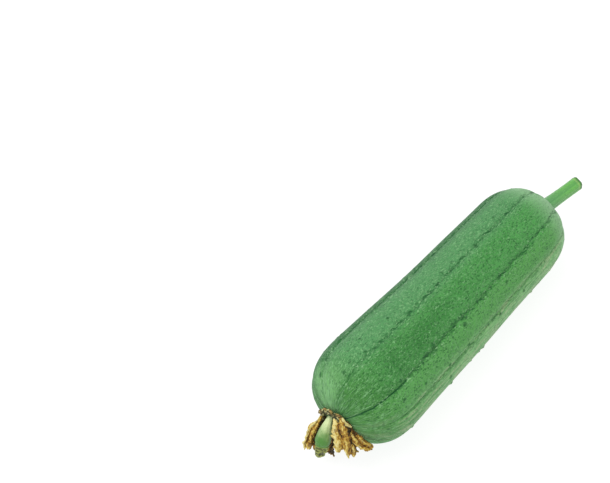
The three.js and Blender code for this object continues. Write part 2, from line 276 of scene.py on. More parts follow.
# Each large wart: millimetres from the blossom end, degrees round the fruit, half-width.
LARGE_WARTS = [
    (10, 41, 1.3), (19, 44, 1.4), (66, 46, 1.3), (38, 67, 1.2), (61, 72, 1.3), (32, 82, 1.2),
    (33, 127, 1.4), (66, 126, 1.9), (112, 128, 1.3), (53, 131, 1.3), (94, 135, 1.8), (139, 137, 1.3),
    (28, 144, 1.3), (47, 149, 1.3), (70, 157, 1.4), (90, 157, 1.4), (124, 163, 1.3), (68, 172, 1.4),
]


def seeded_draw(seed):
    """Yields repeatable numbers between 0 and 1."""
    state = seed
    while True:
        state = (state * 1664525 + 1013904223) % 2 ** 32
        yield state / 2 ** 32


def drawn_from(draw, limits):
    """The next number of a draw, spread over a pair of limits."""
    return limits[0] + (limits[1] - limits[0]) * next(draw)


def drawn_warts():
    """The solid's own warts: x along the fruit, angle round it, half-width and height."""
    draw = seeded_draw(WART_SEED)
    warts = []
    for _ in range(WART_COUNT):
        line = int(next(draw) * LOBE_COUNT)
        x = WART_FREE_END + (LENGTH - 2 * WART_FREE_END) * next(draw) ** WART_CROWDING
        off = (next(draw) - next(draw)) * WART_SPREAD * 2
        radius = drawn_from(draw, WART_RADIUS)
        height = drawn_from(draw, WART_HEIGHT)
        angle = LINE_ANGLES[line] + line_turn(x) + math.degrees(off / BLOSSOM_RADIUS)
        warts.append((x, angle, radius, height))
    warts += [(x, angle, radius, WART_HEIGHT[1]) for x, angle, radius in LARGE_WARTS]
    return [wart for wart in warts if abs(wart[1] - UNDERSIDE) > WART_FREE_ANGLE]


def drawn_pimples():
    """Small bumps anywhere on the skin, in the same form."""
    draw = seeded_draw(PIMPLE_SEED)
    pimples = []
    for _ in range(PIMPLE_COUNT):
        x = PIMPLE_FREE_END + (LENGTH - 2 * PIMPLE_FREE_END) * next(draw) ** PIMPLE_CROWDING
        angle = 360 * next(draw)
        radius = drawn_from(draw, PIMPLE_RADIUS)
        height = drawn_from(draw, PIMPLE_HEIGHT)
        pimples.append((x, angle, radius, height))
    return pimples


warts = drawn_warts()
pimples = drawn_pimples()
print(len(warts), "warts and", len(pimples), "small bumps")


# %% Fruit: bumps as heights on the grid
BUMP_REACH = 1.5
WART_STRETCH = 1.15


def bump_field(bumps, stretch):
    """Sum over the bumps of height * (1 - q) ** 2, where q is the squared distance from the
    bump's middle over its reach: one and a half half-widths, and longer by stretch along x."""
    field = np.zeros(fruit_angle.shape)
    round_scale = np.radians(1) * barrel_radius(fruit_x) * end_share(fruit_x)
    for x, angle, radius, height in bumps:
        reach = BUMP_REACH * radius
        rows = np.nonzero(np.abs(fruit_x[:, 0] - x) < reach * stretch)[0]
        turned = (fruit_angle[rows] - angle + 180) % 360 - 180
        q = (turned * round_scale[rows] / reach) ** 2
        q = q + ((fruit_x[rows] - x) / (reach * stretch)) ** 2
        field[rows] += height * np.clip(1 - q, 0, 1) ** 2
    return field


wart_field = bump_field(warts, WART_STRETCH)
pimple_field = bump_field(pimples, 1.0)
print("tallest wart", round(float(wart_field.max()), 2), "mm")

# %% [markdown]
# Now the skin itself: barrel, less the valleys and grooves, plus bumps, less a low swell that
# no two gourds share. Near the flower the skin is gathered in small puckers, and the deepest
# line is a crease. Where the fruit lies, its height is cut off at the table.

# %% Fruit: how its skin rises and falls
LOBE_DEPTH = 0.9
LOBE_SHARPNESS = 2.5
GROOVE_DEPTH = 0.5
GROOVE_WIDTH = 0.75
UNEVENNESS = 0.3
PUCKER_COUNT = 41
PUCKER_DEPTH = 0.35
PUCKER_REACH = 7
CREASE_LINE = 3
CREASE_DEPTH = 1.1
CREASE_REACH = 12
CREASE_WIDTH = 1.3


def skin_relief():
    """Height of the skin over the barrel: bumps less valley, groove, swell, puckers and crease.
    Groove and crease are bell curves of the distance from a line, puckers a wave round the
    fruit, and puckers and crease fade by an exponential along it."""
    turn = np.radians(fruit_angle)
    valley = LOBE_DEPTH * np.abs(2 * across_lobe - 1) ** LOBE_SHARPNESS
    groove = GROOVE_DEPTH * np.exp(-((line_distance / GROOVE_WIDTH) ** 2))
    swell = UNEVENNESS * np.sin(fruit_x / 21 + 2 * turn) * np.cos(fruit_x / 33 - 3 * turn)
    wave = np.cos(PUCKER_COUNT * turn + 1.5 * np.sin(5 * turn))
    pucker = PUCKER_DEPTH * np.exp(-fruit_x / PUCKER_REACH) * (0.5 + 0.5 * wave)
    crease = CREASE_DEPTH * np.exp(-fruit_x / CREASE_REACH)
    crease = crease * np.exp(-((line_distance / CREASE_WIDTH) ** 2)) * (nearest_line == CREASE_LINE)
    return wart_field + pimple_field - valley - groove - swell - pucker - crease


relief = skin_relief()
print("skin relief from", round(float(relief.min()), 2), "to", round(float(relief.max()), 2), "mm")

# %% Fruit: the skin's points
RELIEF_FADE = 0.7
fruit_sides = [corner[1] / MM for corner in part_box("fruit")]


def skin_points():
    """Points of the fruit in metres: the radius turned round the axis, cut off at the table and
    kept within the solid's sides."""
    share = end_share(fruit_x)
    radius = barrel_radius(fruit_x) * share + relief * share ** RELIEF_FADE
    turn = np.radians(fruit_angle)
    side = np.clip(axis_side(fruit_x) + radius * np.cos(turn), *fruit_sides)
    height = np.maximum(axis_height(fruit_x) + radius * np.sin(turn), 0)
    along = blossom_x + fruit_x + 0 * radius
    return np.stack([along, side, height], axis=-1) * MM


fruit_points = skin_points()
print("skin points", fruit_points.shape[0] * fruit_points.shape[1])

# %% [markdown]
# A grid becomes a mesh once its points are numbered and each four neighbours are a face. The last
# column joins the first, which closes the tube, and each end row shrinks to one point, which
# closes the ends. A mesh can also keep numbers at its points, which its material reads later.

# %% Helpers that turn grids into closed meshes
def new_object(name, points, faces):
    """A smooth-shaded mesh object from an array of points and lists of point numbers."""
    mesh = bpy.data.meshes.new(name)
    mesh.from_pydata(points.tolist(), [], faces)
    mesh.shade_smooth()
    mesh.update()
    made = bpy.data.objects.new(name, mesh)
    bpy.context.scene.collection.objects.link(made)
    return made


def pole_to_pole(values):
    """A grid of rows by columns as one list, with the first and last row as single points."""
    middle = values[1:-1].reshape(-1, *values.shape[2:])
    return np.concatenate([values[:1, 0], middle, values[-1:, 0]])


def tube_faces(rows, columns):
    """Faces of a closed tube whose first and last row are single points, all facing out."""
    number = 1 + np.arange((rows - 2) * columns).reshape(rows - 2, columns)
    beside = np.roll(number, -1, axis=1)
    quads = np.stack([number[:-1], beside[:-1], beside[1:], number[1:]], axis=-1).reshape(-1, 4)
    first = np.stack([np.zeros(columns, int), beside[0], number[0]], axis=-1)
    last = np.stack([np.full(columns, 1 + number.size), number[-1], beside[-1]], axis=-1)
    return quads.tolist() + first.tolist() + last.tolist()


def set_attribute(made, name, values):
    """Keeps one number for each point of the mesh, for its material to read."""
    attribute = made.data.attributes.new(name, "FLOAT", "POINT")
    attribute.data.foreach_set("value", np.ascontiguousarray(values, dtype=np.float32).ravel())


def set_vector(made, name, values):
    """Keeps three numbers for each point of the mesh, for its material to read."""
    attribute = made.data.attributes.new(name, "FLOAT_VECTOR", "POINT")
    attribute.data.foreach_set("vector", np.ascontiguousarray(values, dtype=np.float32).ravel())


print("a tube of 4 rows and 3 columns has", len(tube_faces(4, 3)), "faces")

# %% [markdown]
# Some patterns follow the skin and not space: streaks run lengthwise and gather at both ends.
# So each point also keeps a place on an even cylinder, where the ends haven't closed in, and
# the noise textures read that place.

# %% Fruit: the mesh and what its points know
PATTERN_RADIUS = 35
PIMPLE_DARKNESS = 0.6


def make_fruit():
    """The closed fruit with its pattern places, line distances and bump heights."""
    shape = fruit_angle.shape
    fruit = new_object("gourd_fruit", pole_to_pole(fruit_points), tube_faces(*shape))
    turn = np.radians(fruit_angle)
    along = np.broadcast_to(fruit_x, shape)
    cylinder = [along, PATTERN_RADIUS * np.cos(turn), PATTERN_RADIUS * np.sin(turn)]
    set_vector(fruit, "pattern_place", pole_to_pole(np.stack(cylinder, axis=-1)))
    bumps = np.clip(wart_field + PIMPLE_DARKNESS * pimple_field, 0, 1)
    kept = {"along": along, "line_distance": line_distance, "line_side": line_side,
            "line_number": nearest_line, "wart": bumps}
    for name, values in kept.items():
        set_attribute(fruit, name, pole_to_pole(np.broadcast_to(values, shape)))
    return fruit


fruit = make_fruit()
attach(fruit, "root")
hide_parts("fruit")
print("fruit faces", len(fruit.data.polygons))

# %% [markdown]
# A material is a small graph of nodes. This helper adds one node, sets its settings and either
# links or sets each input, so that a graph reads as a list of sentences.

# %% Helpers for materials: one node at a time
def add(tree, kind, inputs=None, **settings):
    """Adds a node; an input given as a socket is linked, and any other value is set."""
    made = tree.nodes.new(kind)
    for name, value in settings.items():
        setattr(made, name, value)
    for key, value in (inputs or {}).items():
        if isinstance(value, bpy.types.NodeSocket):
            tree.links.new(value, made.inputs[key])
        else:
            made.inputs[key].default_value = value
    return made


def attribute(tree, name):
    """The node that reads a number or vector kept on the mesh's points."""
    return add(tree, "ShaderNodeAttribute", attribute_name=name)


def noise(tree, place, scale, detail=2.0, roughness=0.5, distortion=0.0):
    """Soft noise between 0 and 1 at a place, with scale waves to each unit; distortion curls it."""
    inputs = {"Vector": place, "Scale": scale, "Detail": detail, "Roughness": roughness,
              "Distortion": distortion}
    return add(tree, "ShaderNodeTexNoise", inputs).outputs["Fac"]


def between(tree, value, low, high, to_low=0.0, to_high=1.0):
    """Maps low to high onto to_low to to_high with a smooth start and end."""
    inputs = {"Value": value, "From Min": low, "From Max": high, "To Min": to_low, "To Max": to_high}
    made = add(tree, "ShaderNodeMapRange", inputs, interpolation_type="SMOOTHSTEP")
    return made.outputs["Result"]


def maths(tree, operation, first, second=0.0):
    """One sum, product or other operation on two numbers."""
    return add(tree, "ShaderNodeMath", {0: first, 1: second}, operation=operation).outputs[0]


def product(tree, first, *others):
    """The first number times each of the others."""
    for other in others:
        first = maths(tree, "MULTIPLY", first, other)
    return first


def blend(tree, share, first, second):
    """A colour that goes from first to second as share goes from 0 to 1."""
    made = add(tree, "ShaderNodeMix", data_type="RGBA")
    for key, value in ((0, share), (6, first), (7, second)):
        if isinstance(value, bpy.types.NodeSocket):
            tree.links.new(value, made.inputs[key])
        else:
            made.inputs[key].default_value = value
    return made.outputs[2]


def stretched(tree, place, factors):
    """A place with each of its directions scaled, so that a pattern gets longer or finer there."""
    made = add(tree, "ShaderNodeVectorMath", {0: place, 1: factors}, operation="MULTIPLY")
    return made.outputs[0]


print("node helpers ready")

# %% [markdown]
# Every finish here is one Principled shader, which is given a colour and a fine relief that change
# over the surface, and a few constants such as roughness. Colours are written as a screen shows
# them, from 0 to 255, and turned into the even scale of light in which a shader counts.

# %% Helpers for materials: a whole surface
def new_material(name):
    """An empty material, its tree and its shader, which is joined to the output."""
    material = bpy.data.materials.new(name)
    material.use_nodes = True
    return material, material.node_tree, material.node_tree.nodes["Principled BSDF"]


def join_surface(tree, shader, colour, height, strength, depth):
    """Gives the shader its colour and a bump: a height read as a relief of some depth in metres."""
    tree.links.new(colour, shader.inputs["Base Color"])
    bump = add(tree, "ShaderNodeBump", {"Height": height, "Strength": strength, "Distance": depth})
    tree.links.new(bump.outputs["Normal"], shader.inputs["Normal"])


def set_inputs(shader, values):
    """Sets the shader's own inputs that are the same all over."""
    for name, value in values.items():
        shader.inputs[name].default_value = value


def srgb(red, green, blue):
    """A colour given as a screen's values from 0 to 255, in the linear numbers a shader needs."""
    share = np.array([red, green, blue]) / 255
    linear = np.where(share <= 0.04045, share / 12.92, ((share + 0.055) / 1.055) ** 2.4)
    return (*linear.tolist(), 1.0)


print("middle grey on a screen is", round(srgb(128, 128, 128)[0], 3), "of white light")

# %% [markdown]
# Living skin, stem and style share one fine grain: pale flecks and dark pores, drawn out along
# the growth. It is a node group, a graph with named inputs and outputs that several materials
# use with their own numbers. It puts out masks and a height, and each material does the rest.

# %% The shared grain of green plant skin
def make_plant_grain():
    """Flecks are the high parts of a fine noise and pores the low parts of a finer one."""
    group = bpy.data.node_groups.new("plant_grain", "ShaderNodeTree")
    face = group.interface
    face.new_socket("Place", in_out="INPUT", socket_type="NodeSocketVector")
    for name, value in (("Fleck Scale", 0.8), ("Pore Scale", 1.4)):
        face.new_socket(name, in_out="INPUT", socket_type="NodeSocketFloat").default_value = value
    for name in ("Flecks", "Pores", "Height"):
        face.new_socket(name, in_out="OUTPUT", socket_type="NodeSocketFloat")
    given = group.nodes.new("NodeGroupInput").outputs
    fine = noise(group, given["Place"], given["Fleck Scale"], 3.0, 0.6, 1.0)
    finer = noise(group, given["Place"], given["Pore Scale"], 3.0, 0.6, 0.6)
    flecks = between(group, fine, 0.5, 0.68)
    pores = between(group, finer, 0.5, 0.34)
    height = maths(group, "SUBTRACT", flecks, pores)
    result = group.nodes.new("NodeGroupOutput").inputs
    for name, socket in (("Flecks", flecks), ("Pores", pores), ("Height", height)):
        group.links.new(socket, result[name])
    return group


plant_grain = make_plant_grain()


def grain(tree, place, fleck_scale, pore_scale):
    """The shared grain placed in a material, with its own scales."""
    made = add(tree, "ShaderNodeGroup", node_tree=plant_grain)
    tree.links.new(place, made.inputs["Place"])
    made.inputs["Fleck Scale"].default_value = fleck_scale
    made.inputs["Pore Scale"].default_value = pore_scale
    return made.outputs


print("grain outputs", [s.name for s in plant_grain.interface.items_tree if s.in_out == "OUTPUT"])

# %% [markdown]
# The skin's colour is built up in layers, as a painter would. Most layers belong to one side of the
# fruit, and several are painted light and shade: a sheen highlight, light from the table, a rim
# highlight, a sheen at the stem end and shade on the far side. A side is named by its direction in
# degrees: 0 is the far side, 90 the top, 180 the near side. The angle's cosine is cheap to get from the
# pattern place, as a dot product, and read between two limits it is a soft mask.

# %% Skin: its greens, its painted light and shade, and which side each belongs to
SKIN_DEEP = srgb(60, 130, 60)
SKIN_MID = srgb(78, 150, 76)
SKIN_YOUNG = srgb(96, 180, 94)
# Painted sheen highlight: a paler, cooler green for the upper lobe on the lamp's side.
SKIN_SHEEN = srgb(90, 156, 95)
# Painted shade: a darker green for the far side.
SKIN_FAR_SHADE = srgb(46, 110, 54)
SKIN_WARM = srgb(97, 171, 88)
# Painted light: a pale green for the low near side that the white table lights, and for a lit patch by
# the flower.
SKIN_PAINTED_LIGHT = srgb(138, 200, 128)
# Painted highlight: the pale beige rim along the low near edge.
SKIN_RIM_HIGHLIGHT = srgb(188, 202, 160)
SKIN_BLOSSOM_END = srgb(72, 132, 58)
# Painted sheen: the pale bluish green of the stem end.
SKIN_STEM_END_SHEEN = srgb(162, 212, 158)
FAR_SIDE = 8
LIT_PATCH = 52
SHEEN_LOBE = 58
WARM_LOBE = 150
NEAR_LOBE = 176
BOUNCE_LIT_SIDE = 190
LOW_EDGE = 192


def facing(tree, place, degrees, low, high, to_low=0.0, to_high=1.0):
    """Mask of one side: the cosine of the angle from its direction, which is 1 there and 0 a
    quarter turn on, read from low to high."""
    turn = math.radians(degrees)
    direction = (0, math.cos(turn) / PATTERN_RADIUS, math.sin(turn) / PATTERN_RADIUS)
    cosine = add(tree, "ShaderNodeVectorMath", {0: place, 1: direction}, operation="DOT_PRODUCT")
    return between(tree, cosine.outputs["Value"], low, high, to_low, to_high)


def skin_ground(tree, place, along):
    """Green patches, younger towards the stem, then a painted sheen highlight on the upper lobe, a
    warmer lobe, and painted light from the table on the low near side.
    """
    patches = noise(tree, stretched(tree, place, (0.5, 1, 1)), 0.07, 5.0, 0.62)
    colour = blend(tree, between(tree, patches, 0.36, 0.64), SKIN_DEEP, SKIN_MID)
    colour = blend(tree, between(tree, along, 20, 200, 0.0, 0.55), colour, SKIN_YOUNG)
    # Painted sheen highlight on the upper lobe.
    colour = blend(tree, facing(tree, place, SHEEN_LOBE, 0.78, 0.95), colour, SKIN_SHEEN)
    colour = blend(tree, facing(tree, place, WARM_LOBE, 0.9, 0.985), colour, SKIN_WARM)
    # Painted light: the low near side paler, as the white table lights it.
    side = facing(tree, place, BOUNCE_LIT_SIDE, 0.74, 0.93)
    side = product(tree, side, between(tree, along, 0, 90, 0.35, 1.0))
    return blend(tree, side, colour, SKIN_PAINTED_LIGHT)


def near_side(tree, place, colour):
    """Painted highlight: pale patches on the low edge, and pale and dark streaks along the near lobe,
    partly the skin's own streaks and partly painted rim highlight and shade.
    """
    # Painted highlight: pale beige patches along the low edge.
    dull = noise(tree, stretched(tree, place, (0.4, 1, 1)), 0.3, 3.0)
    dull = between(tree, dull, 0.44, 0.6, 0.0, 0.6)
    dull = product(tree, dull, facing(tree, place, LOW_EDGE, 0.95, 0.99))
    colour = blend(tree, dull, colour, SKIN_RIM_HIGHLIGHT)
    # Partly the skin's streaks, partly painted rim highlight and shade on the near lobe.
    near = facing(tree, place, NEAR_LOBE, 0.9, 0.97)
    drawn = noise(tree, stretched(tree, place, (0.12, 1, 1)), 0.55, 3.0, 0.6)
    pale = product(tree, near, between(tree, drawn, 0.5, 0.6, 0.0, 0.5))
    dark = product(tree, near, between(tree, drawn, 0.48, 0.38, 0.0, 0.5))
    return blend(tree, dark, blend(tree, pale, colour, SKIN_RIM_HIGHLIGHT), SKIN_DEEP)


def both_ends(tree, place, along, colour):
    """An olive blossom end, a pale stem end with painted sheen, painted shade on the far side, and a
    painted light patch by the flower.
    """
    colour = blend(tree, between(tree, along, 32, 4, 0.0, 0.7), colour, SKIN_BLOSSOM_END)
    # Painted sheen on the stem end.
    colour = blend(tree, between(tree, along, 186, 213), colour, SKIN_STEM_END_SHEEN)
    # Painted shade on the far side, fading out at the blossom end.
    back = product(tree, facing(tree, place, FAR_SIDE, 0.62, 0.9), between(tree, along, 4, 24))
    colour = blend(tree, back, colour, SKIN_FAR_SHADE)
    # Painted light: a pale patch on the lamp's side by the flower.
    pale = facing(tree, place, LIT_PATCH, 0.84, 0.97)
    pale = product(tree, pale, between(tree, along, 22, 5, 0.0, 0.6))
    return blend(tree, pale, colour, SKIN_PAINTED_LIGHT)


print("sides named", FAR_SIDE, LIT_PATCH, SHEEN_LOBE, WARM_LOBE, NEAR_LOBE, BOUNCE_LIT_SIDE, LOW_EDGE)

# %% [markdown]
# Over the greens lie small marks: pale streaks where the skin is gathered at the flower, flecks,
# pores, warts that are dark all over or only in part, and pale scars close to the lines.

# %% Skin: streaks, flecks, pores, warts and scars
SKIN_FLECK = srgb(134, 196, 130)
SKIN_PORE = srgb(36, 100, 46)
GATHERED_SHARE = 0.85
FLECK_SHARE = 0.75
FLECK_SHARE_BACK = 0.4
FLECK_SHARE_SHEEN_SIDE = 0.5
PORE_SHARE = 0.85
PORE_SHARE_SIDE = 0.5
WART_SHARE = 0.75
FAR_EDGE = 355


def skin_marks(tree, place, along, colour, grains):
    """Broken streaks gathered at the flower, then flecks and pores, each with its own strength
    from side to side."""
    streaks = noise(tree, stretched(tree, place, (0.22, 1, 1)), 0.9, 2.0)
    broken = noise(tree, stretched(tree, place, (0.7, 1, 1)), 0.42, 1.0)
    gathered = product(tree, between(tree, streaks, 0.52, 0.66),
                       between(tree, along, 40, 8, 0.0, GATHERED_SHARE),
                       between(tree, broken, 0.42, 0.58, 0.2, 1.0))
    colour = blend(tree, gathered, colour, SKIN_FLECK)
    sheen_side = facing(tree, place, SHEEN_LOBE, 0.78, 0.95)
    flecked = facing(tree, place, FAR_EDGE, 0.2, 0.9, FLECK_SHARE, FLECK_SHARE_BACK)
    flecked = maths(tree, "ADD", flecked, product(tree, sheen_side, FLECK_SHARE_SHEEN_SIDE))
    colour = blend(tree, product(tree, grains["Flecks"], flecked), colour, SKIN_FLECK)
    speckled = product(tree, facing(tree, place, BOUNCE_LIT_SIDE, 0.7, 0.95, PORE_SHARE, PORE_SHARE_SIDE),
                       between(tree, along, 176, 206, 1.0, 0.35),
                       between(tree, sheen_side, 0, 1, 1.0, 0.75))
    return blend(tree, product(tree, grains["Pores"], speckled), colour, SKIN_PORE)


def wart_mask(tree, place):
    """The bumps' kept height less a noise, so that some are dark all over and others in part."""
    uneven = product(tree, noise(tree, place, 0.9, 2.0), 0.7)
    height = maths(tree, "SUBTRACT", attribute(tree, "wart").outputs["Fac"], uneven)
    return between(tree, height, -0.2, 0.4, 0.0, WART_SHARE)


def scar_mask(tree, place):
    """Short pale scars near the lines: the high parts of a noise drawn out along the fruit."""
    distance = attribute(tree, "line_distance").outputs["Fac"]
    scars = noise(tree, stretched(tree, place, (0.5, 1, 1)), 0.9, 1.0)
    scars = between(tree, scars, 0.62, 0.72, 0.0, 0.75)
    return product(tree, scars, between(tree, distance, 5.5, 1.5))


print("flecks up to", FLECK_SHARE + FLECK_SHARE_SHEEN_SIDE, "pores up to", PORE_SHARE)

# %% [markdown]
# A line on the real fruit isn't drawn with a ruler. It swings a little to either side of its groove and
# is made of short strokes that cross it at a slant, like a loose braid, with a thin core in places. Near
# the flower one line is a whole dark crease, dark partly of its own and partly with painted shade in the
# crease.

# %% Skin: the dark lines
CORE_FAINT = 0.08
CORE_DARK = 0.55
LINE_SWING = 1.3
LANE_SHIFT = 17.0
STROKE_DARK = 0.85
STROKE_SLANT = 0.22
STROKE_PACE = 0.85
STROKE_DRAWN = 0.2
CREASED_LINE = 132
FADED_LINE = 165


def line_strokes(tree, along, side, shift):
    """Strokes that slant across the line: a noise that is long along them and short across."""
    over = maths(tree, "SUBTRACT", side, product(tree, along, STROKE_SLANT))
    over = maths(tree, "ADD", product(tree, over, STROKE_PACE), shift)
    drawn = add(tree, "ShaderNodeCombineXYZ", {"X": product(tree, along, STROKE_DRAWN), "Y": over})
    return between(tree, noise(tree, drawn.outputs[0], 1.0, 1.0), 0.5, 0.6, 0.0, STROKE_DARK)


def line_mask(tree, place, along):
    """1 on a line and 0 off it: the most of core, strokes and marks beside it, faded in places, and the
    crease, whose dark is partly painted shade. Each line reads its noises in a lane of its own, so no
    two are alike."""
    shift = product(tree, attribute(tree, "line_number").outputs["Fac"], LANE_SHIFT)
    lane = add(tree, "ShaderNodeCombineXYZ", {"X": along, "Y": shift}).outputs[0]
    swing = between(tree, noise(tree, lane, 0.13, 2.0), 0.2, 0.8, -LINE_SWING, LINE_SWING)
    swing = product(tree, swing, between(tree, along, 20, 60, 0.25, 1.0))
    side = maths(tree, "ADD", attribute(tree, "line_side").outputs["Fac"], swing)
    distance = maths(tree, "ABSOLUTE", side)
    waver = product(tree, noise(tree, place, 0.35, 2.0), 0.9)
    thin = between(tree, maths(tree, "ADD", distance, waver), 1.35, 0.6)
    dashes = between(tree, noise(tree, lane, 0.24, 3.0, 0.6), 0.42, 0.58, CORE_FAINT, CORE_DARK)
    braid = product(tree, line_strokes(tree, along, side, shift), between(tree, distance, 1.9, 0.6))
    marks = noise(tree, stretched(tree, place, (0.55, 1, 1)), 0.5, 1.0)
    marks = between(tree, marks, 0.54, 0.66, 0.0, 0.5)
    mask = maths(tree, "MAXIMUM", product(tree, thin, dashes), braid)
    mask = maths(tree, "MAXIMUM", mask, product(tree, marks, between(tree, distance, 3.6, 1.0)))
    fading = facing(tree, place, FADED_LINE, 0.955, 0.98, 1.0, 0.5)
    fading = product(tree, fading, between(tree, along, 12, 56, 0.35, 1.0))
    # Partly the line's own dark, partly painted shade in the crease near the flower.
    dark_line_and_crease_shade = facing(tree, place, CREASED_LINE, 0.97, 0.99)
    dark_line_and_crease_shade = product(tree, dark_line_and_crease_shade, between(tree, along, 55, 30))
    return maths(tree, "MAXIMUM", product(tree, mask, fading), product(tree, thin, dark_line_and_crease_shade))


print("lines swing by up to", LINE_SWING, "mm")

# %% [markdown]
# Last, the layers are laid over each other. The skin has a fine down that scatters light at the
# edges, which is the shader's sheen, and it is a little rougher on the flecks.

# %% Skin: the material
WART_DARK = srgb(34, 96, 46)
LINE_DARK = srgb(26, 90, 44)
SCAR_PALE = srgb(156, 208, 150)
DOWN_TINT = srgb(214, 230, 236)


def make_skin():
    """Greens, marks, warts, lines and scars, laid over each other, and a fine bump."""
    material, tree, shader = new_material("gourd_skin")
    place = attribute(tree, "pattern_place").outputs["Vector"]
    along = attribute(tree, "along").outputs["Fac"]
    grains = grain(tree, stretched(tree, place, (0.6, 1, 1)), 0.95, 1.2)
    colour = near_side(tree, place, skin_ground(tree, place, along))
    colour = both_ends(tree, place, along, colour)
    colour = skin_marks(tree, place, along, colour, grains)
    wart = wart_mask(tree, place)
    colour = blend(tree, wart, colour, WART_DARK)
    colour = blend(tree, line_mask(tree, place, along), colour, LINE_DARK)
    scars = product(tree, scar_mask(tree, place), maths(tree, "SUBTRACT", 1.0, wart))
    colour = blend(tree, scars, colour, SCAR_PALE)
    join_surface(tree, shader, colour, grains["Height"], 0.6, 0.0005)
    rough = between(tree, grains["Flecks"], 0, 1, 0.62, 0.72)
    tree.links.new(rough, shader.inputs["Roughness"])
    set_inputs(shader, {"Specular IOR Level": 0.18, "Sheen Weight": 0.16,
                        "Sheen Roughness": 0.35, "Sheen Tint": DOWN_TINT})
    return material


fruit.data.materials.append(make_skin())
print("skin nodes", len(fruit.data.materials[0].node_tree.nodes))

# %% [markdown]
# Stem, style and petals are drawn along a curve that leaves its first point, is pulled towards
# its second and ends at its third. Its place and direction at a share of its length come from two
# short formulas, for many shares at once.

# %% Curves that stem, style and petals follow
STALK_RADIUS = 4


def curve_place(points, share):
    """(1 - s) squared times the first point, 2 s (1 - s) times the second, s squared times the third."""
    start, bend, end = (np.array(p, float) for p in points)
    s = np.asarray(share)[..., None]
    return (1 - s) ** 2 * start + 2 * s * (1 - s) * bend + s ** 2 * end


def curve_direction(points, share):
    """The curve's own slope, made one long."""
    start, bend, end = (np.array(p, float) for p in points)
    s = np.asarray(share)[..., None]
    slope = (1 - s) * (bend - start) + s * (end - bend)
    return slope / np.linalg.norm(slope, axis=-1, keepdims=True)


def along_curve(points, share, angle, radius):
    """Points off a curve: its place plus radius times the side and up directions turned by angle."""
    forward = curve_direction(points, share)
    side = np.cross(np.array([0, 0, 1.0]), forward)
    side = side / np.linalg.norm(side, axis=-1, keepdims=True)
    up = np.cross(forward, side)
    off = np.cos(angle)[..., None] * side + np.sin(angle)[..., None] * up
    return curve_place(points, share) + radius[..., None] * off


def unit_noise(u, v, seed, waves=6):
    """A smooth uneven field: a sum of sine waves with seeded directions and shifts."""
    draw = seeded_draw(seed)
    total = np.zeros(np.broadcast(u, v).shape)
    for number in range(1, waves + 1):
        turn = 2 * math.pi * next(draw)
        shift = 2 * math.pi * next(draw)
        wave = np.sin(number * (u * math.cos(turn) + v * math.sin(turn)) + shift)
        total = total + wave / number ** 0.7
    return total / waves ** 0.5


def stalk_place(share, turn, length):
    """Where a point of a stalk would lie on an even cylinder, for its patterns."""
    cylinder = [share * length, STALK_RADIUS * np.cos(turn), STALK_RADIUS * np.sin(turn)]
    return pole_to_pole(np.stack(cylinder, axis=-1))


print("curves ready")

# %% [markdown]
# The stem is a ribbed stalk, a little wider at its foot and cut off square. The cut face sinks
# slightly in the middle and has a rim. A stalk like this could be a curve with a bevel, but a
# grid lets the ribs fade and the cut face keep its own shape.

# %% Stem: its outline
WALL_ROWS = 116
RIM_ROWS = 12
FACE_ROWS = 24
STEM_WAIST = 4.5
RIM_SHARE = 0.011
RIM_ROUNDING = 0.42
FACE_SINK = 0.022


def stem_outline():
    """Share along the stem and half-width for each row: a wall that flares at its foot by two
    exponentials, a quarter-round rim, and a face that sinks by a squared sine."""
    wall = np.linspace(0, 1, WALL_ROWS) ** 1.2
    wall_radius = STEM_WAIST + 0.8 * np.exp(-wall * 17) + 1.1 * np.exp(-wall * 4.5) + 0.22 * wall ** 6
    turn = np.linspace(0, math.pi / 2, RIM_ROWS)[1:]
    rim = 1 + RIM_SHARE * np.sin(turn)
    rim_radius = wall_radius[-1] - RIM_ROUNDING * (1 - np.cos(turn))
    face = np.linspace(0, 1, FACE_ROWS)[1:]
    face_radius = rim_radius[-1] * (1 - face)
    face_share = rim[-1] - FACE_SINK * np.sin(math.pi / 2 * np.minimum(face * 2.2, 1)) ** 2
    share = np.concatenate([[0], wall, rim, face_share])
    return share, np.concatenate([[0], wall_radius, rim_radius, face_radius])


stem_share, stem_radius = stem_outline()
print("stem rows", len(stem_share), "widest", round(2 * float(stem_radius.max()), 1), "mm")

# %% Stem: the mesh
STEM_LENGTH = 36.4
STEM_LEAN = 6.0
STEM_COLUMNS = 96
STEM_RIBS = 5
CUT_ROWS = FACE_ROWS + 2
blossom_middle = np.array([blossom_x, axis_side(0), axis_height(0)])
stem_middle = np.array([stem_x, axis_side(LENGTH), axis_height(LENGTH)])


